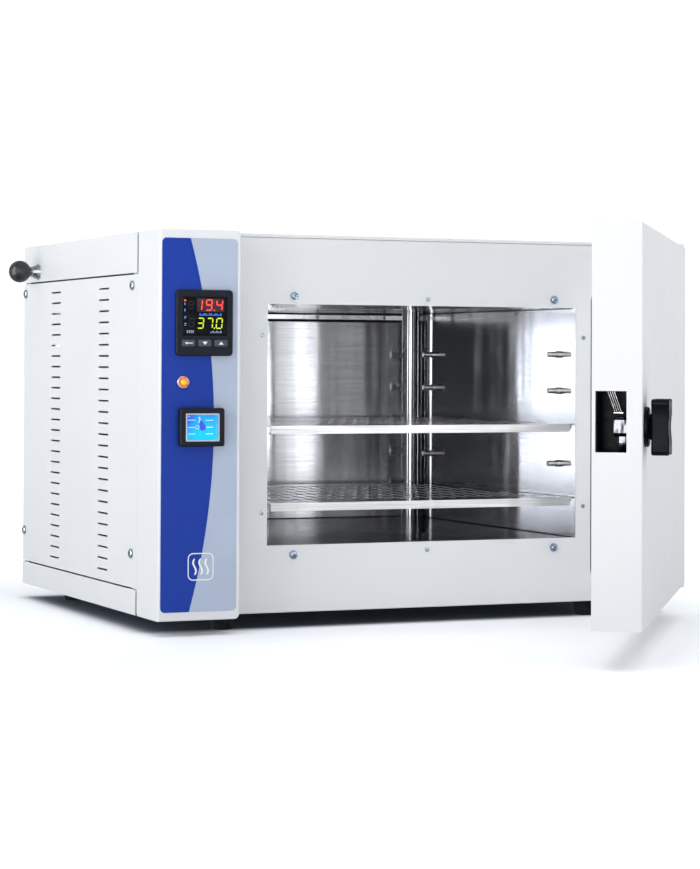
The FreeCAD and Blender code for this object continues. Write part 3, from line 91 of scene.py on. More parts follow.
def make_camera():
    """Long lens, level with the upper part of the cabinet and to the left of its middle."""
    forward = Vector((math.sin(YAW) * math.cos(PITCH), math.cos(YAW) * math.cos(PITCH), math.sin(PITCH)))
    level = Vector((math.cos(YAW), -math.sin(YAW), 0))
    upright = level.cross(forward)
    right = level * math.cos(ROLL) + upright * math.sin(ROLL)
    up = upright * math.cos(ROLL) - level * math.sin(ROLL)
    data = bpy.data.cameras.new("camera")
    data.sensor_width = SENSOR_WIDTH
    data.lens = SENSOR_WIDTH * FOCAL_SHARE
    data.shift_y = VERTICAL_SHIFT
    data.clip_end = FAR_CLIP
    camera = new_object("camera", data)
    turn = Matrix((right, up, -forward)).transposed()
    camera.matrix_world = Matrix.Translation(mm(*CAMERA_PLACE)) @ turn.to_4x4()
    bpy.context.scene.camera = camera


def add_light(name, kind, place, target, energy, color, **settings):
    """A light at a place, turned towards a target; both are row-frame metres."""
    data = bpy.data.lights.new(name, kind)
    data.energy = energy
    data.color = color
    for key, value in settings.items():
        setattr(data, key, value)
    light = new_object(name, data)
    light.location = place
    light.rotation_euler = (Vector(target) - Vector(place)).to_track_quat("-Z", "Y").to_euler()
    hide_from(light, "camera", "glossy")
    return light


def hide_from(thing, *rays):
    """Keeps some kinds of ray from seeing an object."""
    for ray in rays:
        setattr(thing, "visible_" + ray, False)


def make_world():
    """White studio whose front side, behind the camera, is dark."""
    world = bpy.data.worlds.new("studio")
    world.use_nodes = True
    tree = world.node_tree
    direction = tree.nodes.new("ShaderNodeTexCoord").outputs["Generated"]
    parts = tree.nodes.new("ShaderNodeSeparateXYZ")
    tree.links.new(direction, parts.inputs[0])
    depth = tree.nodes.new("ShaderNodeMapRange")
    depth.interpolation_type = "SMOOTHSTEP"
    for socket, value in (("From Min", -0.75), ("From Max", 0.6), ("To Min", 0.04), ("To Max", 0.6)):
        depth.inputs[socket].default_value = value
    tree.links.new(parts.outputs["Y"], depth.inputs["Value"])
    background = tree.nodes["Background"]
    background.inputs["Color"].default_value = (0.93, 0.965, 1.0, 1)
    tree.links.new(depth.outputs[0], background.inputs["Strength"])
    bpy.context.scene.world = world


LAMP_WHITE = (1.0, 0.995, 0.985)

# Soft boxes turned towards the object: place, watts, width and height; metres.
SOFT_BOXES = (
    ("key", (-2.9, -1.35, 1.1), 27, 1.2, 1.7),
    ("front", (0.5, -3.2, 0.9), 5, 1.6, 1.5),
    ("right", (3.0, -1.2, 1.3), 38, 1.6, 1.8),
    ("side", (-2.7, -0.4, 0.25), 5, 1.6, 1.0),
)
SOFT_BOX_DROP = 0.15
SKY_TARGET, SKY_STRENGTH, SKY_SPREAD = (0.4, 0.8, 0), 2.0, math.radians(65)
FILL_PLACE, FILL_TARGET = (-2.0, -2.6, 1.7), (0.31, 0.0, 0.24)
FILL_WATTS, FILL_CONE, FILL_SIZE = 70, math.radians(17), 0.3

# Lamps inside the chamber that brighten the open door: height, watts and how tall; metres.
DOOR_FILLS = (
    ("door_fill_high", 0.335, 0.62, 0.1),
    ("door_fill_low", 0.208, 0.4, 0.05),
)
DOOR_FILL_PLACE, DOOR_FILL_TARGET, DOOR_FILL_WIDTH = (-0.1, 0.12), (0.24, -0.3), 0.18

# White cards that only reflections see: place, width and height in the cabinet's millimetres, the
# axis they face, brightness, and the shares of the width over which the two ends fade out.
CARDS = (
    ("card_front", (100, -3000, 850), 1620, 3500, "Y", 2.2, 0.08, 0.03),
    ("card_half", (-780, -3010, 1400), 260, 2460, "Y", 0.75, 0.25, 0.1),
    ("card_left", (-2080, -3000, 850), 1400, 3500, "Y", 5.0, 0.1, 0.12),
    ("card_side", (-2750, 0, 850), 1500, 3500, "X", 11.0, 0.3, 0.3),
    ("card_top", (300, -400, 2600), 2600, 2400, "Z", 0.9, 0.15, 0.15),
)


def make_card(name, place, wide, high, facing, strength, fade_low, fade_high):
    """An upright or level emissive sheet that neither lights the object nor shows in the picture."""
    graph = Graph("stage_" + name, {"Base Color": (0, 0, 0, 1), "Specular IOR Level": 0.0,
                                    "Emission Color": LAMP_WHITE})
    spread = graph.add("TexCoord").outputs["Generated"]
    across = graph.add("SeparateXYZ", {"Vector": spread}).outputs["X"]
    rise = graph.remap(across, 0, 1, (0.0, fade_low), smooth=True)
    fall = graph.remap(across, 1, 0, (1.0 - fade_high, 1.0), smooth=True)
    graph.set("Emission Strength", graph.math("MULTIPLY", graph.math("MULTIPLY", rise, fall), strength))
    half_x, half_y = wide / 2000, high / 2000
    mesh = bpy.data.meshes.new(name)
    mesh.from_pydata([(-half_x, -half_y, 0), (half_x, -half_y, 0), (half_x, half_y, 0),
                      (-half_x, half_y, 0)], [], [(0, 1, 2, 3)])
    mesh.materials.append(graph.material)
    card = new_object(name, mesh)
    card.location = mm(*place)
    turns = {"Y": (math.pi / 2, 0, 0), "X": (math.pi / 2, 0, math.pi / 2), "Z": (0, 0, 0)}
    card.rotation_euler = turns[facing]
    hide_from(card, "camera", "diffuse", "transmission", "shadow", "volume_scatter")
    return card


FLOOR_RADIUS, FLOOR_SIDES, SURROUND_RADIUS = 60.0, 128, 70.0
GLOW_CENTRE, GLOW_START, GLOW_END, GLOW_STRENGTH = (-0.18, 0.12), 0.6, 1.35, 0.6
# the darker floor under the cabinet is a painted shadow
SHADE_OUTSIDE, SHADE_INSIDE = 0.02, 0.03  # where the darker floor begins and ends at a side


def make_floor():
    """Pale floor with a painted shadow under the cabinet, that glows more and more away from the object.
    """
    graph = Graph("stage_floor", {"Roughness": 0.9, "Specular IOR Level": 0.1,
                                  "Emission Color": (1, 1, 1, 1)})
    pale = graph.mix(graph.noise(900, detail=1), (0.93, 0.95, 0.98), (0.95, 0.965, 0.99))
    where = graph.add("SeparateXYZ", {"Vector": graph.place()}).outputs
    aside = graph.math("POWER", graph.math("ADD", where["X"], -GLOW_CENTRE[0]), 2.0)
    ahead = graph.math("POWER", graph.math("ADD", where["Y"], -GLOW_CENTRE[1]), 2.0)
    reach = graph.math("SQRT", graph.math("ADD", aside, ahead))
    # painted shadow: the floor's colour turns dark inside the cabinet's footprint, with soft sides
    low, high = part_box("base_tray")
    edges = ("X", low.x, 1), ("X", high.x, -1), ("Y", low.y, 1), ("Y", high.y, -1)
    inside = [graph.remap(where[axis], 0, 1, (edge - SHADE_OUTSIDE * turn, edge + SHADE_INSIDE * turn),
                          smooth=True) for axis, edge, turn in edges]
    under = graph.math("MULTIPLY", graph.math("MULTIPLY", inside[0], inside[1]),
                       graph.math("MULTIPLY", inside[2], inside[3]))
    graph.set("Base Color", graph.mix(under, pale, (0.16, 0.19, 0.24)))
    glow = graph.remap(reach, 0, GLOW_STRENGTH, (GLOW_START, GLOW_END), smooth=True)
    graph.set("Emission Strength", glow)
    floor = disc("floor", FLOOR_RADIUS, FLOOR_SIDES, graph.material)
    hide_from(floor, "glossy")
    return floor


def make_surround():
    """White dome that only the camera sees."""
    graph = Graph("stage_surround", {"Base Color": (0, 0, 0, 1), "Emission Strength": 1.1,
                                     "Emission Color": (1, 1, 1, 1)})
    surround = dome("surround", SURROUND_RADIUS, graph.material)
    hide_from(surround, "diffuse", "glossy", "transmission", "shadow", "volume_scatter")
    return surround


def make_studio():
    """Floor, surround, cards and soft lights."""
    bpy.context.scene.view_settings.view_transform = "Standard"
    make_world()
    floor, surround = make_floor(), make_surround()
    [make_card(*card) for card in CARDS]
    add_light("sky", "SUN", (0, 0, 4), SKY_TARGET, SKY_STRENGTH, (0.97, 0.98, 1.0), angle=SKY_SPREAD)
    for name, place, watts, wide, high in SOFT_BOXES:
        add_light(name, "AREA", place, (0.0, 0.0, place[2] - SOFT_BOX_DROP), watts, LAMP_WHITE,
                  shape="RECTANGLE", size=wide, size_y=high)
    for name, height, watts, tall in DOOR_FILLS:
        add_light(name, "AREA", (*DOOR_FILL_PLACE, height), (*DOOR_FILL_TARGET, height), watts,
                  LAMP_WHITE, shape="RECTANGLE", size=DOOR_FILL_WIDTH, size_y=tall)
    add_light("fill", "SPOT", FILL_PLACE, FILL_TARGET, FILL_WATTS, LAMP_WHITE,
              spot_size=FILL_CONE, spot_blend=1.0, shadow_soft_size=FILL_SIZE)


def disc(name, radius, count, material):
    """A level disc about the origin with a rim of count points."""
    turns = [2 * math.pi * number / count for number in range(count)]
    mesh = bpy.data.meshes.new(name)
    mesh.from_pydata([(radius * math.cos(turn), radius * math.sin(turn), 0) for turn in turns], [],
                     [tuple(range(count))])
    mesh.materials.append(material)
    return new_object(name, mesh)


def dome(name, radius, material):
    """A ball about the origin."""
    mesh = bpy.data.meshes.new(name)
    shape = bmesh.new()
    bmesh.ops.create_uvsphere(shape, u_segments=48, v_segments=24, radius=radius)
    shape.to_mesh(mesh)
    shape.free()
    mesh.materials.append(material)
    return new_object(name, mesh)


# ---------------------------------------------------------------- material graphs

def rgb(red, green, blue):
    """A display colour, 0 to 255 a channel, as the linear colour that a shader takes."""
    def linear(value):
        share = value / 255
        return share / 12.92 if share <= 0.04045 else ((share + 0.055) / 1.055) ** 2.4
    return (linear(red), linear(green), linear(blue))


NOISE_RANGE = (0.3, 0.7)  # nearly all of a noise lies between these


class Graph:
    """The node tree of one material, with short ways to add and join nodes."""

    def __init__(self, name, shader=None):
        self.material = bpy.data.materials.new(name)
        self.material.use_nodes = True
        self.tree = self.material.node_tree
        self.shader = self.tree.nodes["Principled BSDF"]
        self.coordinates = None
        for socket, value in (shader or {}).items():
            self.set(socket, value)

    def put(self, socket, value):
        """Joins a socket to another node's output, or gives it a fixed value."""
        if isinstance(value, bpy.types.NodeSocket):
            self.tree.links.new(value, socket)
        elif socket.type == "RGBA" and len(value) == 3:
            socket.default_value = (*value, 1)
        else:
            socket.default_value = value

    def set(self, socket, value):
        """Joins or sets an input of the material's shader."""
        self.put(self.shader.inputs[socket], value)

    def add(self, kind, inputs=None, **settings):
        """A new shader node with its inputs joined or set."""
        made = self.tree.nodes.new("ShaderNode" + kind)
        for key, value in settings.items():
            setattr(made, key, value)
        for socket, value in (inputs or {}).items():
            self.put(made.inputs[socket], value)
        return made

    def place(self):
        """Object coordinates, in metres."""
        if self.coordinates is None:
            self.coordinates = self.add("TexCoord").outputs["Object"]
        return self.coordinates

    def noise(self, size, detail=2.0, stretch=(1, 1, 1), roughness=0.5):
        """Noise whose features are about size millimetres, longer along an axis by its stretch."""
        return self.add("TexNoise", {"Vector": self.scaled(size, stretch), "Scale": 1.0,
                                     "Detail": detail, "Roughness": roughness}).outputs["Fac"]

    def cells(self, size, feature="F1", stretch=(1, 1, 1)):
        """Voronoi cells about size millimetres across."""
        return self.add("TexVoronoi", {"Vector": self.scaled(size, stretch), "Scale": 1.0},
                        feature=feature)

    def scaled(self, size, stretch):
        """Object coordinates in units of size millimetres, longer along an axis by its stretch."""
        scale = [1000 / (size * part) for part in stretch]
        return self.add("Mapping", {"Vector": self.place(), "Scale": scale}).outputs[0]

    def remap(self, value, low, high, source=NOISE_RANGE, smooth=False):
        """Takes a value from its source range to low..high."""
        return self.add("MapRange", {"Value": value, "From Min": source[0], "From Max": source[1],
                                     "To Min": low, "To Max": high},
                        interpolation_type="SMOOTHSTEP" if smooth else "LINEAR").outputs[0]

    def math(self, operation, first, second=0.0):
        """The result of a Math node on one or two values."""
        made = self.add("Math", operation=operation)
        self.put(made.inputs[0], first)
        self.put(made.inputs[1], second)
        return made.outputs[0]

    def mix(self, factor, first, second):
        """One colour fading into another; sockets 6, 7 and 2 are the node's colour sockets."""
        made = self.add("Mix", data_type="RGBA")
        self.put(made.inputs[0], factor)
        self.put(made.inputs[6], first)
        self.put(made.inputs[7], second)
        return made.outputs[2]

    def bump(self, height, depth):
        """Raises the surface by height times depth millimetres, on top of earlier bumps."""
        inputs = {"Height": height, "Distance": depth * MILLIMETRE, "Strength": 1.0}
        if self.shader.inputs["Normal"].is_linked:
            inputs["Normal"] = self.shader.inputs["Normal"].links[0].from_socket
        self.set("Normal", self.add("Bump", inputs).outputs[0])

    def axis(self, name):
        """One coordinate of the place, in metres."""
        return self.add("SeparateXYZ", {"Vector": self.place()}).outputs[name]


def shade(color, factor):
    """A colour made darker or lighter by a factor."""
    return tuple(part * factor for part in color)


def paint(name, color, peel=1.7, depth=0.01, roughness=0.36):
    """Powder-coated sheet: slight cloudiness, fine orange peel and a satin gloss."""
    graph = Graph(name, {"Coat Weight": 0.12, "Coat Roughness": 0.22})
    cloud = graph.remap(graph.noise(210, detail=3), 0, 1)
    speck = graph.remap(graph.noise(0.9, detail=1), 0, 0.5)
    tone = graph.mix(cloud, shade(color, 0.975), color)
    graph.set("Base Color", graph.mix(speck, tone, shade(color, 0.955)))
    graph.set("Roughness", graph.remap(graph.noise(34, detail=4), roughness - 0.035, roughness + 0.045))
    graph.bump(graph.noise(peel, detail=2.5), depth)
    return graph.material


def bright_steel(name, color, low, high, wave, level=0.55, draw=0.0, satin=0.0):
    """Rolled bright stainless sheet: fine brush lines, a slow waviness and faint handling marks.

    Faces that look up are darker by the factor level, a painted shade, and the others rougher by satin.
    Reflections are drawn out upwards, square to the brush lines, by draw.
    """
    graph = Graph(name, {"Metallic": 1.0, "Anisotropic": draw, "Anisotropic Rotation": 0.25})
    graph.set("Tangent", graph.add("Tangent", direction_type="RADIAL", axis="Z").outputs[0])
    fine, length = 0.42, 260
    walls = graph.noise(fine, detail=2, stretch=(length, length, 1))
    flats = graph.noise(fine, detail=2, stretch=(1, length, length))
    normal = graph.add("TexCoord").outputs["Normal"]
    facing = graph.add("SeparateXYZ", {"Vector": normal}).outputs["Z"]
    pick = graph.math("GREATER_THAN", graph.math("ABSOLUTE", facing), 0.6)
    brushed = graph.add("Mix", {"Factor": pick, "A": walls, "B": flats}, data_type="FLOAT").outputs[0]
    # painted shade: faces that look up take the colour darkened by the factor level
    upward = graph.math("GREATER_THAN", facing, 0.6)
    tone = graph.mix(upward, color, shade(color, level))
    smudge = graph.remap(graph.noise(46, detail=4, roughness=0.6), 0, 1)
    graph.set("Base Color", graph.mix(graph.remap(brushed, 0, 0.5), tone, shade(color, 0.86 * level)))
    gloss = graph.math("ADD", graph.remap(smudge, low, high, (0, 1)), graph.remap(brushed, -0.02, 0.03))
    graph.set("Roughness", graph.math("ADD", gloss, graph.remap(upward, satin, 0, (0, 1))))
    graph.bump(graph.noise(58, detail=1.0, stretch=(1, 1, 6)), wave)
    graph.bump(brushed, 0.006)
    return graph.material


def zinc_plated(name, color, roughness):
    """Bright zinc with a bluish tint that drifts over the part, and painted shade in its corners and
    recesses.
    """
    graph = Graph(name, {"Metallic": 1.0})
    drift = graph.remap(graph.noise(3.2, detail=2), 0, 1)
    tint = graph.mix(drift, color, (color[0] * 0.72, color[1] * 0.84, color[2]))
    # painted shade: ambient occlusion darkens the colour in recesses and where a head meets its panel
    open_air = graph.add("AmbientOcclusion", {"Distance": 0.004}).outputs["AO"]
    painted_recess_shade = graph.remap(open_air, 0, 1, (0.35, 0.9), smooth=True)
    graph.set("Base Color", graph.mix(painted_recess_shade, shade(color, 0.05), tint))
    graph.set("Roughness", graph.remap(graph.noise(1.1, detail=3), roughness - 0.06, roughness + 0.1))
    graph.bump(graph.noise(0.5, detail=2), 0.006)
    return graph.material


def patchy_chrome(name, color, dark=0.12):
    """Bright plating with dark patches drawn out upright."""
    graph = Graph(name, {"Metallic": 1.0})
    patch = graph.remap(graph.noise(5, detail=1, stretch=(1, 1, 3.5)), 0, 1, (0.42, 0.56), smooth=True)
    graph.set("Base Color", graph.mix(patch, shade(color, dark), color))
    graph.set("Roughness", graph.remap(graph.noise(1.3, detail=3), 0.1, 0.22))
    graph.bump(graph.noise(0.6, detail=1), 0.003)
    return graph.material


def galvanised(name, color):
    """Zinc-dipped sheet with large soft spangles."""
    graph = Graph(name, {"Metallic": 1.0})
    spangle = graph.cells(9.0)
    tone = graph.add("SeparateColor", {"Color": spangle.outputs["Color"]}).outputs[0]
    graph.set("Base Color", graph.mix(tone, shade(color, 0.8), shade(color, 1.1)))
    graph.set("Roughness", graph.remap(tone, 0.34, 0.5, (0, 1)))
    graph.bump(graph.noise(1.4, detail=3), 0.01)
    return graph.material


def turned_metal(name, color, axis, roughness):
    """Lathe-turned metal: fine rings square to an axis."""
    graph = Graph(name, {"Metallic": 1.0})
    stretch = [40, 40, 40]
    stretch["XYZ".index(axis)] = 1
    rings = graph.noise(0.35, detail=2, stretch=stretch)
    graph.set("Base Color", graph.mix(graph.remap(rings, 0, 1), shade(color, 0.86), color))
    graph.set("Roughness", graph.remap(rings, roughness - 0.04, roughness + 0.1))
    graph.bump(rings, 0.006)
    return graph.material


def moulded_plastic(name, color, roughness, depth=0.012, coat=0.0, gloss=0.22):
    """Moulded plastic with a fine spark-eroded grain and slightly uneven gloss."""
    graph = Graph(name, {"Coat Weight": coat, "Coat Roughness": 0.12, "Specular IOR Level": gloss})
    cloud = graph.remap(graph.noise(18, detail=3), 0, 1)
    graph.set("Base Color", graph.mix(cloud, shade(color, 0.85), shade(color, 1.12)))
    graph.set("Roughness", graph.remap(graph.noise(7, detail=4), roughness - 0.05, roughness + 0.07))
    graph.bump(graph.noise(0.55, detail=2), depth)
    return graph.material


def rubber(name, color, roughness=0.68):
    """Dull rubber with a faint bloom of dust in its grain."""
    graph = Graph(name, {"Specular IOR Level": 0.15})
    dust = graph.remap(graph.noise(6, detail=5, roughness=0.65), 0, 1, (0.45, 0.75))
    graph.set("Base Color", graph.mix(dust, color, tuple(part * 1.5 + 0.012 for part in color)))
    graph.set("Roughness", graph.remap(graph.noise(2.5, detail=3), roughness - 0.06, roughness + 0.1))
    graph.bump(graph.noise(0.8, detail=3), 0.03)
    return graph.material


def printed_film(name, color):
    """Printed polycarbonate film: even ink under a finely embossed satin face."""
    graph = Graph(name, {"Specular IOR Level": 0.22, "Coat Weight": 0.05, "Coat Roughness": 0.2})
    ink = graph.remap(graph.noise(60, detail=3), 0, 1)
    dots = graph.remap(graph.noise(0.6, detail=1), 0, 0.6)
    tone = graph.mix(ink, shade(color, 0.95), shade(color, 1.04))
    graph.set("Base Color", graph.mix(dots, tone, shade(color, 0.93)))
    graph.set("Roughness", graph.remap(graph.noise(12, detail=3), 0.34, 0.42))
    graph.bump(graph.noise(0.7, detail=1), 0.006)
    return graph.material


def dark_glass(name, color):
    """Gloss window with faint wiping marks."""
    graph = Graph(name, {"Coat Weight": 0.6, "Coat Roughness": 0.03})
    wipe = graph.remap(graph.noise(5, detail=5, stretch=(3, 1, 1)), 0, 1)
    graph.set("Base Color", graph.mix(wipe, color, tuple(part * 1.4 + 0.002 for part in color)))
    graph.set("Roughness", graph.remap(wipe, 0.06, 0.14, (0, 1)))
    graph.bump(graph.noise(9, detail=1), 0.004)
    return graph.material


def lit(name, color, strength):
    """A lit display element with a slightly uneven glow."""
    graph = Graph(name, {"Roughness": 0.35, "Emission Strength": strength})
    glow = graph.remap(graph.noise(1.6, detail=1), 0, 1)
    graph.set("Base Color", shade(color, 0.5))
    graph.set("Emission Color", graph.mix(glow, shade(color, 0.75), color))
    graph.bump(graph.noise(0.5, detail=1), 0.004)
    return graph.material


def lamp_lens(name, centre):
    """Translucent orange lens, deep red-orange at its rim and amber in the middle."""
    graph = Graph(name, {"Roughness": 0.12, "Coat Weight": 0.6, "Coat Roughness": 0.04,
                         "Emission Strength": 0.55})
    offset = graph.add("Mapping", {"Vector": graph.place(), "Location": tuple(-part for part in centre)})
    flat = graph.add("SeparateXYZ", {"Vector": offset.outputs[0]})
    across = graph.math("POWER", flat.outputs["X"], 2.0)
    upward = graph.math("POWER", flat.outputs["Z"], 2.0)
    reach = graph.math("SQRT", graph.math("ADD", across, upward))
    rim = graph.remap(reach, 0, 1, (0.0026, 0.0054), smooth=True)
    facets = graph.cells(1.5).outputs["Distance"]
    core = graph.mix(graph.remap(facets, 0, 0.35, (0, 1)), rgb(255, 176, 34), rgb(255, 132, 10))
    tone = graph.mix(rim, core, rgb(208, 46, 6))
    graph.set("Base Color", tone)
    graph.set("Emission Color", tone)
    graph.bump(facets, 0.05)
    return graph.material


def screen_gradient(name, low, high):
    """Lit liquid-crystal screen, cyan at its foot and deeper blue towards the top."""
    graph = Graph(name, {"Roughness": 0.16, "Coat Weight": 0.5, "Coat Roughness": 0.05,
                         "Emission Strength": 0.72})
    upward = graph.remap(graph.axis("Z"), 0, 1, (low.z, high.z), smooth=True)
    sideways = graph.remap(graph.axis("X"), 1, 0, (low.x, low.x + 0.5 * (high.x - low.x)), smooth=True)
    depth = graph.math("MULTIPLY", upward, graph.math("ADD", sideways, 0.55))
    cloud = graph.remap(graph.noise(9, detail=2), -0.12, 0.12)
    tone = graph.mix(graph.math("ADD", depth, cloud), rgb(20, 178, 250), rgb(42, 104, 205))
    graph.set("Base Color", tone)
    graph.set("Emission Color", tone)
    graph.bump(graph.cells(0.35).outputs["Distance"], 0.002)
    return graph.material


def mineral_wool(name, color):
    """Matted fibre, coarse and uneven."""
    graph = Graph(name, {"Roughness": 0.95, "Sheen Weight": 0.3})
    fibre = graph.noise(2.0, detail=5, stretch=(5, 5, 1), roughness=0.7)
    graph.set("Base Color", graph.mix(graph.remap(fibre, 0, 1), shade(color, 0.55), shade(color, 1.2)))
    graph.bump(fibre, 0.9)
    return graph.material


def circuit_board(name, color):
    """Solder mask with tinned tracks under it."""
    graph = Graph(name, {"Coat Weight": 0.4, "Coat Roughness": 0.1})
    tracks = graph.cells(4.5, feature="DISTANCE_TO_EDGE", stretch=(1, 1, 2.4)).outputs["Distance"]
    raised = graph.remap(tracks, 1, 0, (0.02, 0.06))
    graph.set("Base Color", graph.mix(raised, color, tuple(part * 1.8 + 0.02 for part in color)))
    graph.set("Roughness", graph.remap(graph.noise(3), 0.28, 0.4))
    graph.bump(raised, 0.03)
    return graph.material


def make_materials():
    """One finish for each slot of the record."""
    lens_low, lens_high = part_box("lamp_lens")
    lens_centre = (lens_low + lens_high) / 2
    screen_low, screen_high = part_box("timer_screen")
    return {
        "white_paint": paint("finish_white_paint", (0.76, 0.772, 0.785)),
        "galvanised_steel": galvanised("finish_galvanised", (0.6, 0.61, 0.62)),
        "black_rubber": rubber("finish_foot_rubber", (0.005, 0.007, 0.01)),
        "bright_zinc": zinc_plated("finish_zinc", (0.5, 0.57, 0.65), roughness=0.2),
        # level darkens the faces that look up, the chamber floor and the shelf decks: painted shade
        "chamber_steel": bright_steel("finish_chamber_steel", (0.74, 0.75, 0.775), 0.085, 0.125,
                                      wave=0.5, draw=0.98),
        "peg_steel": turned_metal("finish_peg_steel", (0.9, 0.89, 0.88), "X", roughness=0.38),
        "shelf_steel": bright_steel("finish_shelf_steel", (0.74, 0.745, 0.755), 0.12, 0.17,
                                    wave=0.1, level=0.15, satin=0.36),
        "mineral_wool": mineral_wool("finish_mineral_wool", (0.5, 0.44, 0.28)),
        "silicone_orange": rubber("finish_silicone", (0.5, 0.12, 0.03), roughness=0.5),
        "black_plastic": moulded_plastic("finish_black_plastic", (0.007, 0.010, 0.016), roughness=0.34),
        "collar_metal": turned_metal("finish_collar", (0.36, 0.4, 0.44), "X", roughness=0.3),
        "overlay_print": printed_film("finish_overlay_grey", rgb(176, 188, 208)),
        "smoked_window": dark_glass("finish_smoked_window", (0.006, 0.006, 0.008)),
        "grey_rubber": rubber("finish_keypad_mat", (0.05, 0.052, 0.058)),
        "key_grey": moulded_plastic("finish_key", rgb(72, 78, 88), roughness=0.4, coat=0.1),
        "lamp_metal": turned_metal("finish_lamp_ring", (0.86, 0.6, 0.5), "Y", roughness=0.25),
        "lamp_orange": lamp_lens("finish_lamp_lens", lens_centre),
        "screen_blue": screen_gradient("finish_screen", screen_low, screen_high),
        "circuit_board": circuit_board("finish_circuit_board", (0.01, 0.1, 0.03)),
        "nylon_white": moulded_plastic("finish_nylon", (0.78, 0.78, 0.74), roughness=0.45),
        "gasket_rubber": rubber("finish_gasket_and_shade_strips", (0.022, 0.023, 0.027), roughness=0.55),
        "latch_chrome": patchy_chrome("finish_latch_chrome", (0.2, 0.21, 0.23)),
    }


def dress_frame(finishes):
    """Gives every CAD node the finish of its slot, or one of its own where it looks different. The door
    shell's darker copy of the white paint is painted shade, and the inner door panel's lighter copy is
    painted light.
    """
    # the door's coarser peel is its own finish; its darker colour is painted shade
    door_paint_shaded = paint("finish_door_paint", (0.66, 0.668, 0.68), peel=1.5, depth=0.016, roughness=0.4)
    satin = bright_steel("finish_strip_steel", (0.86, 0.87, 0.88), 0.24, 0.34, wave=0.05)
    # painted light: a lighter copy of the white paint for the inner door panel
    inner_door_paint_lit = paint("finish_face_paint", (0.84, 0.85, 0.862))
    grip = moulded_plastic("finish_grip", (0.0025, 0.004, 0.008), roughness=0.28, gloss=0.09)
    ball = moulded_plastic("finish_knob", (0.008, 0.011, 0.016), roughness=0.4, depth=0.002, gloss=0.6)
    wire = patchy_chrome("finish_spring_wire", (0.9, 0.91, 0.93), dark=0.6)
    special = {"door_shell": door_paint_shaded, "detent_spring": wire, "rear_wall_strip": satin,
               "door_inner_panel": inner_door_paint_lit, "handle_grip": grip, "handle_rose": grip,
               "latch_case": grip, "damper_knob": ball}
    for part in frame["record"]["subparts"]:
        node = frame["nodes"][part["node"]]
        for slot in node.material_slots:
            slot.material = special.get(part["node"], finishes[part["material_slot"]])


# ---------------------------------------------------------------- piece helpers

SMOOTH_ANGLE = math.radians(35)


def add_piece(name, mesh, material, body="cabinet"):
    """A new object from a mesh in row-frame metres, riding on a body."""
    mesh.materials.clear()
    mesh.materials.append(material)
    made = new_object(name, mesh)
    mesh.shade_smooth()
    mesh.set_sharp_from_angle(angle=SMOOTH_ANGLE)
    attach(made, body)
    return made


def arc(centre_x, centre_z, radius, start, end, count=8):
    """Points along an arc; angles are degrees, anticlockwise from +x."""
    points = []
    for number in range(count + 1):
        angle = math.radians(start + (end - start) * number / count)
        points.append((centre_x + radius * math.cos(angle), centre_z + radius * math.sin(angle)))
    return points


def rounded_rectangle(x0, z0, x1, z1, radius, count=8):
    """Closed outline of a rectangle with round corners, anticlockwise."""
    return (arc(x1 - radius, z0 + radius, radius, -90, 0, count)
            + arc(x1 - radius, z1 - radius, radius, 0, 90, count)
            + arc(x0 + radius, z1 - radius, radius, 90, 180, count)
            + arc(x0 + radius, z0 + radius, radius, 180, 270, count))


def plate(name, outlines, front, thickness, material, body="cabinet"):
    """Flat print of closed outlines in x and z, its face at y = front; inner outlines are holes."""
    curve = bpy.data.curves.new(name, "CURVE")
    curve.dimensions = "2D"
    curve.fill_mode = "BOTH"
    curve.extrude = thickness / 2
    for outline in outlines:
        spline = curve.splines.new("POLY")
        spline.points.add(len(outline) - 1)
        for point, (x, z) in zip(spline.points, outline):
            point.co = (x, z, 0, 1)
        spline.use_cyclic_u = True
    holder = bpy.data.objects.new(name + "_curve", curve)
    mesh = bpy.data.meshes.new_from_object(holder)
    mesh.name = name
    bpy.data.objects.remove(holder)
    bpy.data.curves.remove(curve)
    stand = Matrix(((1, 0, 0, 0), (0, 0, -1, front + thickness / 2), (0, 1, 0, 0), (0, 0, 0, 1)))
    mesh.transform(Matrix.Translation(ORIGIN) @ Matrix.Scale(MILLIMETRE, 4) @ stand)
    return add_piece(name, mesh, material, body)


def rounded_block(name, low, high, corner, edge, material, body="cabinet"):
    """Block seen from the front: round corners in x and z, and a soft front rim."""
    outline = rounded_rectangle(low[0], low[2], high[0], high[2], corner, 6)
    middle_x, middle_z = (low[0] + high[0]) / 2, (low[2] + high[2]) / 2
    half_x, half_z = (high[0] - low[0]) / 2, (high[2] - low[2]) / 2
    steps = 4
    rings = [(high[1], 0.0)]
    for number in range(steps + 1):
        angle = math.pi / 2 * number / steps
        rings.append((low[1] + edge * (1 - math.sin(angle)), edge * (1 - math.cos(angle))))
    shape = bmesh.new()
    loops = []
    for y, inset in rings:
        loops.append([shape.verts.new(mm(middle_x + (x - middle_x) * (half_x - inset) / half_x, y,
                                         middle_z + (z - middle_z) * (half_z - inset) / half_z))
                      for x, z in outline])
    count = len(outline)
    for before, after in zip(loops, loops[1:]):
        for number in range(count):
            following = (number + 1) % count
            shape.faces.new((before[number], before[following], after[following], after[number]))
    shape.faces.new(loops[-1])
    shape.faces.new(loops[0][::-1])
    mesh = bpy.data.meshes.new(name)
    bmesh.ops.recalc_face_normals(shape, faces=shape.faces)
    shape.to_mesh(mesh)
    shape.free()
    return add_piece(name, mesh, material, body)


# ---------------------------------------------------------------- printed overlay

PRINT = 0.04  # thickness of the printed and lit plates
LABEL_FACE = millimetre_box("front_overlay")[0].y
LABEL_CORNER = 6.0
SWEEP_CENTRE = (-786.4, 242.3)
SWEEP_RADIUS = 858.5
LAMP_HOLE_RADIUS = 6.4
HOLE_INSET, HOLE_MARGIN = 4.0, 1.0  # how far the film reaches under a frame, and ends before the arc


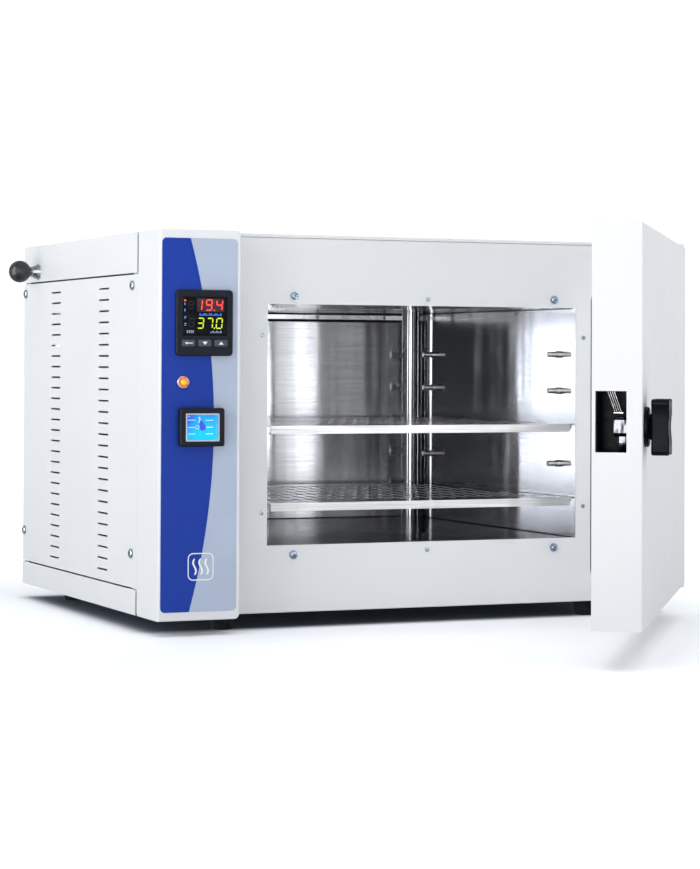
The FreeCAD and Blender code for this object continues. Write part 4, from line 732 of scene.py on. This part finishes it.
def make_overlay():
    """Blue field left of a wide arc on the grey film, and a generic warmth mark."""
    low, high = millimetre_box("front_overlay")
    end = math.degrees(math.asin((high.z - SWEEP_CENTRE[1]) / SWEEP_RADIUS))
    start = math.degrees(math.asin((low.z - SWEEP_CENTRE[1]) / SWEEP_RADIUS))
    field = (arc(*SWEEP_CENTRE, SWEEP_RADIUS, start, end, 48)
             + arc(low.x + LABEL_CORNER, high.z - LABEL_CORNER, LABEL_CORNER, 90, 180)
             + arc(low.x + LABEL_CORNER, low.z + LABEL_CORNER, LABEL_CORNER, 180, 270))
    bezel_low, bezel_high = millimetre_box("controller_bezel")
    timer_low, timer_high = millimetre_box("timer_frame")
    ring_low, ring_high = millimetre_box("lamp_ring")
    lamp = (ring_low + ring_high) / 2
    holes = [
        arc(lamp.x, lamp.z, LAMP_HOLE_RADIUS, 0, 350, 35),
        film_hole(bezel_low, bezel_high, bezel_low.z + HOLE_INSET, bezel_high.z - HOLE_INSET),
        film_hole(timer_low, timer_high, timer_low.z, timer_high.z),
    ]
    blue = printed_film("finish_overlay_blue", rgb(14, 56, 158))
    plate("overlay_blue_field", [field] + holes, LABEL_FACE - 0.045, PRINT, blue)
    make_mark()


def film_hole(low, high, foot, head):
    """Hole of the blue field behind a frame, up to the arc as it lies at the heights foot and head."""
    left, base, top = low.x + HOLE_INSET, low.z + HOLE_INSET, high.z - HOLE_INSET
    return [(left, base), (sweep_x(foot) - HOLE_MARGIN, base), (sweep_x(head) - HOLE_MARGIN, top),
            (left, top)]


def sweep_x(z):
    """Where the arc's edge lies at a height."""
    return SWEEP_CENTRE[0] + math.sqrt(SWEEP_RADIUS ** 2 - (z - SWEEP_CENTRE[1]) ** 2)


def make_mark():
    """White outline of a rounded square round three wavy lines of rising warmth."""
    ink = printed_film("finish_mark_ink", (0.86, 0.87, 0.88))
    x, z, half, corner, stroke = 55.5, 66.5, 17.0, 7.0, 1.3
    pitch, length, swing, half_stroke, steps = 8.0, 21.0, 1.9, 1.25, 24
    outlines = [rounded_rectangle(x - half, z - half, x + half, z + half, corner),
                rounded_rectangle(x - half + stroke, z - half + stroke,
                                  x + half - stroke, z + half - stroke, corner - stroke)]
    for offset in (-pitch, 0.0, pitch):
        left, right = [], []
        for number in range(steps + 1):
            share = number / steps
            sway = swing * math.sin(share * 2 * math.pi)
            width = half_stroke * math.sqrt(max(0.0, 1 - (2 * share - 1) ** 8))
            height = z - length / 2 + length * share
            left.append((x + offset + sway - width, height))
            right.append((x + offset + sway + width, height))
        outlines.append(right + left[-2:0:-1])
    plate("overlay_mark", outlines, LABEL_FACE - 0.085, 0.035, ink)


# ---------------------------------------------------------------- controller

SEGMENTS = {"0": "abcdef", "1": "bc", "3": "abcdg", "4": "bcfg", "7": "abc", "8": "abcdefg",
            "9": "abcdfg"}
DIGIT_SLANT = 0.1

# What the controller shows, in millimetres from the lower left corner of its window. A number has
# its digits, their middles, foot, width, height and stroke, and the corners of the decimal point.
UPPER_NUMBER = ("194", (21.4, 34.4, 48.2), 30.8, 8.8, 14.2, 1.45, (40.4, 30.6, 42.0, 32.2))
LOWER_NUMBER = ("370", (23.4, 35.4, 48.0), 8.4, 8.8, 13.8, 1.5, (40.6, 8.4, 42.4, 10.2))
UNLIT_DIGITS = ((11.0, 32.0), (11.6, 10.4))
BAND = (18.4, 29.6, 54.4, 46.0)
ALARM_DOT = (1.5, 42.4, 4.3, 44.4)
INDICATORS = ((37.6, 1.2, 3.0), (29.6, 1.2, 3.6), (22.4, 2.4, 1.3), (20.6, 1.3, 1.3),
              (14.4, 2.6, 1.0), (12.2, 2.6, 1.0))  # foot, width and height


def segment_outlines(character, centre_x, base_z, width, height, stroke):
    """Outlines of the lit segments of one seven-segment digit."""
    half_w = width / 2 - stroke / 2
    half_h = height / 2
    middle = base_z + half_h
    reach = half_h - stroke / 2
    gap = stroke * 0.22
    rails = {
        "a": ((-half_w, reach), (half_w, reach)), "g": ((-half_w, 0), (half_w, 0)),
        "d": ((-half_w, -reach), (half_w, -reach)), "f": ((-half_w, 0), (-half_w, reach)),
        "b": ((half_w, 0), (half_w, reach)), "e": ((-half_w, -reach), (-half_w, 0)),
        "c": ((half_w, -reach), (half_w, 0)),
    }
    outlines = []
    for key in SEGMENTS[character]:
        first, last = (Vector(end) for end in rails[key])
        along = (last - first).normalized()
        across = Vector((-along.y, along.x)) * stroke / 2
        first = first + along * gap
        last = last - along * gap
        tip = along * stroke / 2
        corners = [first, first + tip - across, last - tip - across, last,
                   last - tip + across, first + tip + across]
        outlines.append([(centre_x + point.x + DIGIT_SLANT * point.y, middle + point.y)
                         for point in corners])
    return outlines


def number_outlines(characters, middles, foot, width, height, stroke, point):
    """Outlines of a row of seven-segment digits and its decimal point."""
    outlines = []
    for character, middle in zip(characters, middles):
        outlines += segment_outlines(character, middle, foot, width, height, stroke)
    return outlines + [rounded_rectangle(*point, 0.7, 4)]


def make_controller():
    """Lit digits, indicators and bar of the temperature controller, and its three keys."""
    low = millimetre_box("controller_window")[0]

    def show(name, outlines, material, front=0.06, thickness=PRINT):
        shifted = [[(low.x + u, low.z + v) for u, v in outline] for outline in outlines]
        plate(name, shifted, low.y - front, thickness, material)

    ghost = []
    for middle, foot in UNLIT_DIGITS:
        ghost += segment_outlines("8", middle, foot, 7.4, 11.4, 1.6)
    show("display_band", [rounded_rectangle(*BAND, 1.2)],
         dark_glass("finish_display_band", rgb(66, 48, 52)), front=0.02, thickness=0.02)
    show("display_digits_red", number_outlines(*UPPER_NUMBER),
         lit("finish_digit_red", rgb(255, 66, 58), 1.7))
    show("display_digits_green", number_outlines(*LOWER_NUMBER),
         lit("finish_digit_green", rgb(196, 222, 22), 1.05))
    show("display_digits_unlit", ghost, dark_glass("finish_digit_unlit", rgb(36, 40, 46)))
    bar = [rounded_rectangle(21.6 + 2.5 * n, 24.6, 23.4 + 2.5 * n, 26.2 + 1.5 * (n % 3 != 1), 0.3, 2)
           for n in range(12)]
    show("display_bar", bar, lit("finish_display_bar", rgb(18, 110, 232), 0.8))
    lamps = [rounded_rectangle(2.0, foot, 2.0 + wide, foot + high, 0.5, 3)
             for foot, wide, high in INDICATORS]
    show("display_indicators", lamps, lit("finish_indicator_blue", rgb(122, 162, 226), 0.6))
    show("display_alarm_dot", [rounded_rectangle(*ALARM_DOT, 0.9, 4)],
         lit("finish_indicator_orange", rgb(255, 96, 18), 1.1))
    captions = [rounded_rectangle(5.2 + 2.5 * n, 3.0, 6.7 + 2.5 * n, 6.6, 0.3, 3) for n in range(4)]
    captions += [rounded_rectangle(36.4 + 2.6 * n, 3.2, 37.9 + 2.6 * n, 5.0 + 1.2 * (n % 2), 0.3, 3)
                 for n in range(6)]
    show("display_captions", captions, lit("finish_caption", rgb(140, 164, 200), 0.5))
    make_keys()


# The sign on each key, in millimetres from the key's middle, and the body that the key rides on.
KEYS = {
    "key_set": ("set_key", [(-5.2, 0.0), (-1.6, 1.9), (-1.6, 0.6), (5.2, 0.6), (5.2, -0.6),
                            (-1.6, -0.6), (-1.6, -1.9)]),
    "key_down": ("down_key", [(-3.3, 1.8), (3.3, 1.8), (0.0, -2.2)]),
    "key_up": ("up_key", [(-3.3, -1.8), (0.0, 2.2), (3.3, -1.8)]),
}
KEY_CORNER, KEY_EDGE = 1.5, 0.9


def make_keys():
    """Key caps with soft rims, each with its generic sign."""
    grey = bpy.data.materials["finish_key"]
    white = moulded_plastic("finish_key_sign", (0.8, 0.81, 0.82), roughness=0.5)
    for node, (body, sign) in KEYS.items():
        low, high = millimetre_box(node)
        cap = rounded_block(node + "_cap", low, high, KEY_CORNER, KEY_EDGE, grey, body)
        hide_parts(node)
        middle = (low + high) / 2
        plate(node + "_sign", [[(middle.x + u, middle.z + v) for u, v in sign]], low.y - 0.03, 0.05,
              white, body)


# ---------------------------------------------------------------- timer screen

SURROUND_MARGIN, SURROUND_SIZE, SURROUND_BORDER = (7.0, 6.4), (44.2, 34.6), 1.6

# Marks of the screen, in millimetres from just inside the surround's lower left corner.
DASHES = ((2.4, 9.6, 23.8), (2.4, 8.4, 14.8), (3.0, 9.0, 6.8), (25.2, 10.6, 23.6),
          (25.8, 10.2, 15.0), (25.6, 10.0, 6.8), (2.6, 2.2, 28.4))  # left end, length and foot
DASH_HEIGHT = 0.9
RING_CENTRE, RING_RADII = (14.6, 15.4), (2.5, 1.9)
HAND = [(16.0, 20.6), (17.4, 25.6), (16.2, 27.8), (17.6, 28.4), (18.8, 25.8), (17.0, 20.8)]


def make_timer():
    """Silver surround inside the raised frame, and the marks on the blue screen."""
    low = millimetre_box("timer_frame")[0]
    screen_face = millimetre_box("timer_screen")[0].y
    silver = turned_metal("finish_screen_surround", (0.72, 0.75, 0.79), "X", roughness=0.3)
    left, foot = low.x + SURROUND_MARGIN[0], low.z + SURROUND_MARGIN[1]
    right, head = left + SURROUND_SIZE[0], foot + SURROUND_SIZE[1]
    border = SURROUND_BORDER
    outlines = [rounded_rectangle(left, foot, right, head, 1.2),
                rounded_rectangle(left + border, foot + border, right - border, head - border, 0.8)]
    plate("timer_surround", outlines, low.y + 0.5, screen_face - low.y - 0.55, silver)
    start_x, start_z = left + border + 0.6, foot + border + 0.4

    def show(name, outlines, material):
        shifted = [[(start_x + u, start_z + v) for u, v in outline] for outline in outlines]
        plate(name, shifted, screen_face - 0.05, PRINT, material)

    dashes = [rounded_rectangle(u, v, u + length, v + DASH_HEIGHT, 0.4, 3) for u, length, v in DASHES]
    pale = lit("finish_screen_marks", rgb(196, 232, 252), 0.85)
    show("timer_screen_marks", dashes, pale)
    ring = [arc(*RING_CENTRE, radius, 0, 345, 23) for radius in RING_RADII]
    show("timer_screen_dial", ring + [HAND], pale)
    drop = arc(21.6, 15.4, 4.4, 200, 395, 20) + arc(19.4, 21.8, 2.0, 20, 150, 6)
    show("timer_screen_drop", [drop], lit("finish_screen_drop", rgb(46, 84, 214), 0.8))


# ---------------------------------------------------------------- painted shade strips

# Inner faces of the liner, and the plane where the covers begin behind the column.
LINER_RIGHT, LINER_CEILING, LINER_FLOOR, COLUMN_REAR = 612.0, 395.0, 86.0, 28.0
SHADE_STRIP_CORNER, SHADE_STRIP_EDGE = 0.4, 0.2


def make_shade_strips(strip_finish):
    """Dark strips of painted shade in the liner's corner joints and round its bar, and in the gap where
    the column meets the covers.
    """
    bar_low, bar_high = millimetre_box("rear_wall_strip")
    left, right, back = bar_low.x, bar_high.x, bar_high.y
    wall, front, end = LINER_RIGHT - 0.1, 12, back - 24
    ceiling, floor = LINER_CEILING, LINER_FLOOR
    # each strip is a dark sheet laid where a gap or corner falls into shade: painted shade
    shade_strips = {
        "shade_strip_above_bar": ((left, back - 1.6, bar_high.z + 0.2), (right, back, ceiling - 0.4)),
        "shade_strip_below_bar": ((left, back - 3.6, bar_low.z - 4.0), (right, back, bar_low.z - 0.1)),
        "shade_strip_floor_rear": ((left, back - 0.9, floor + 0.1), (right, back, floor + 1.2)),
        "shade_strip_ceiling_right": ((wall - 1.0, front, ceiling - 1.3), (wall, end, ceiling - 0.2)),
        "shade_strip_floor_right": ((wall - 0.8, front, floor + 0.1), (wall, end, floor + 1.0)),
    }
    for name, skirt in (("shade_strip_column_cover", "top_cover"), ("shade_strip_column_base", "base_tray")):
        low, high = millimetre_box(skirt)
        shade_strips[name] = ((low.x + 0.4, COLUMN_REAR + 0.3, low.z + 0.5),
                       (low.x + 1.6, COLUMN_REAR + 4.1, high.z - 3.0))
    for name, (low, high) in shade_strips.items():
        rounded_block(name, low, high, SHADE_STRIP_CORNER, SHADE_STRIP_EDGE, strip_finish)


# ---------------------------------------------------------------- assembly

make_camera()
FINISHES = make_materials()
dress_frame(FINISHES)
make_studio()
make_overlay()
make_controller()
make_timer()
# the gasket's dark rubber also serves the painted shade strips
make_shade_strips(FINISHES["gasket_rubber"])
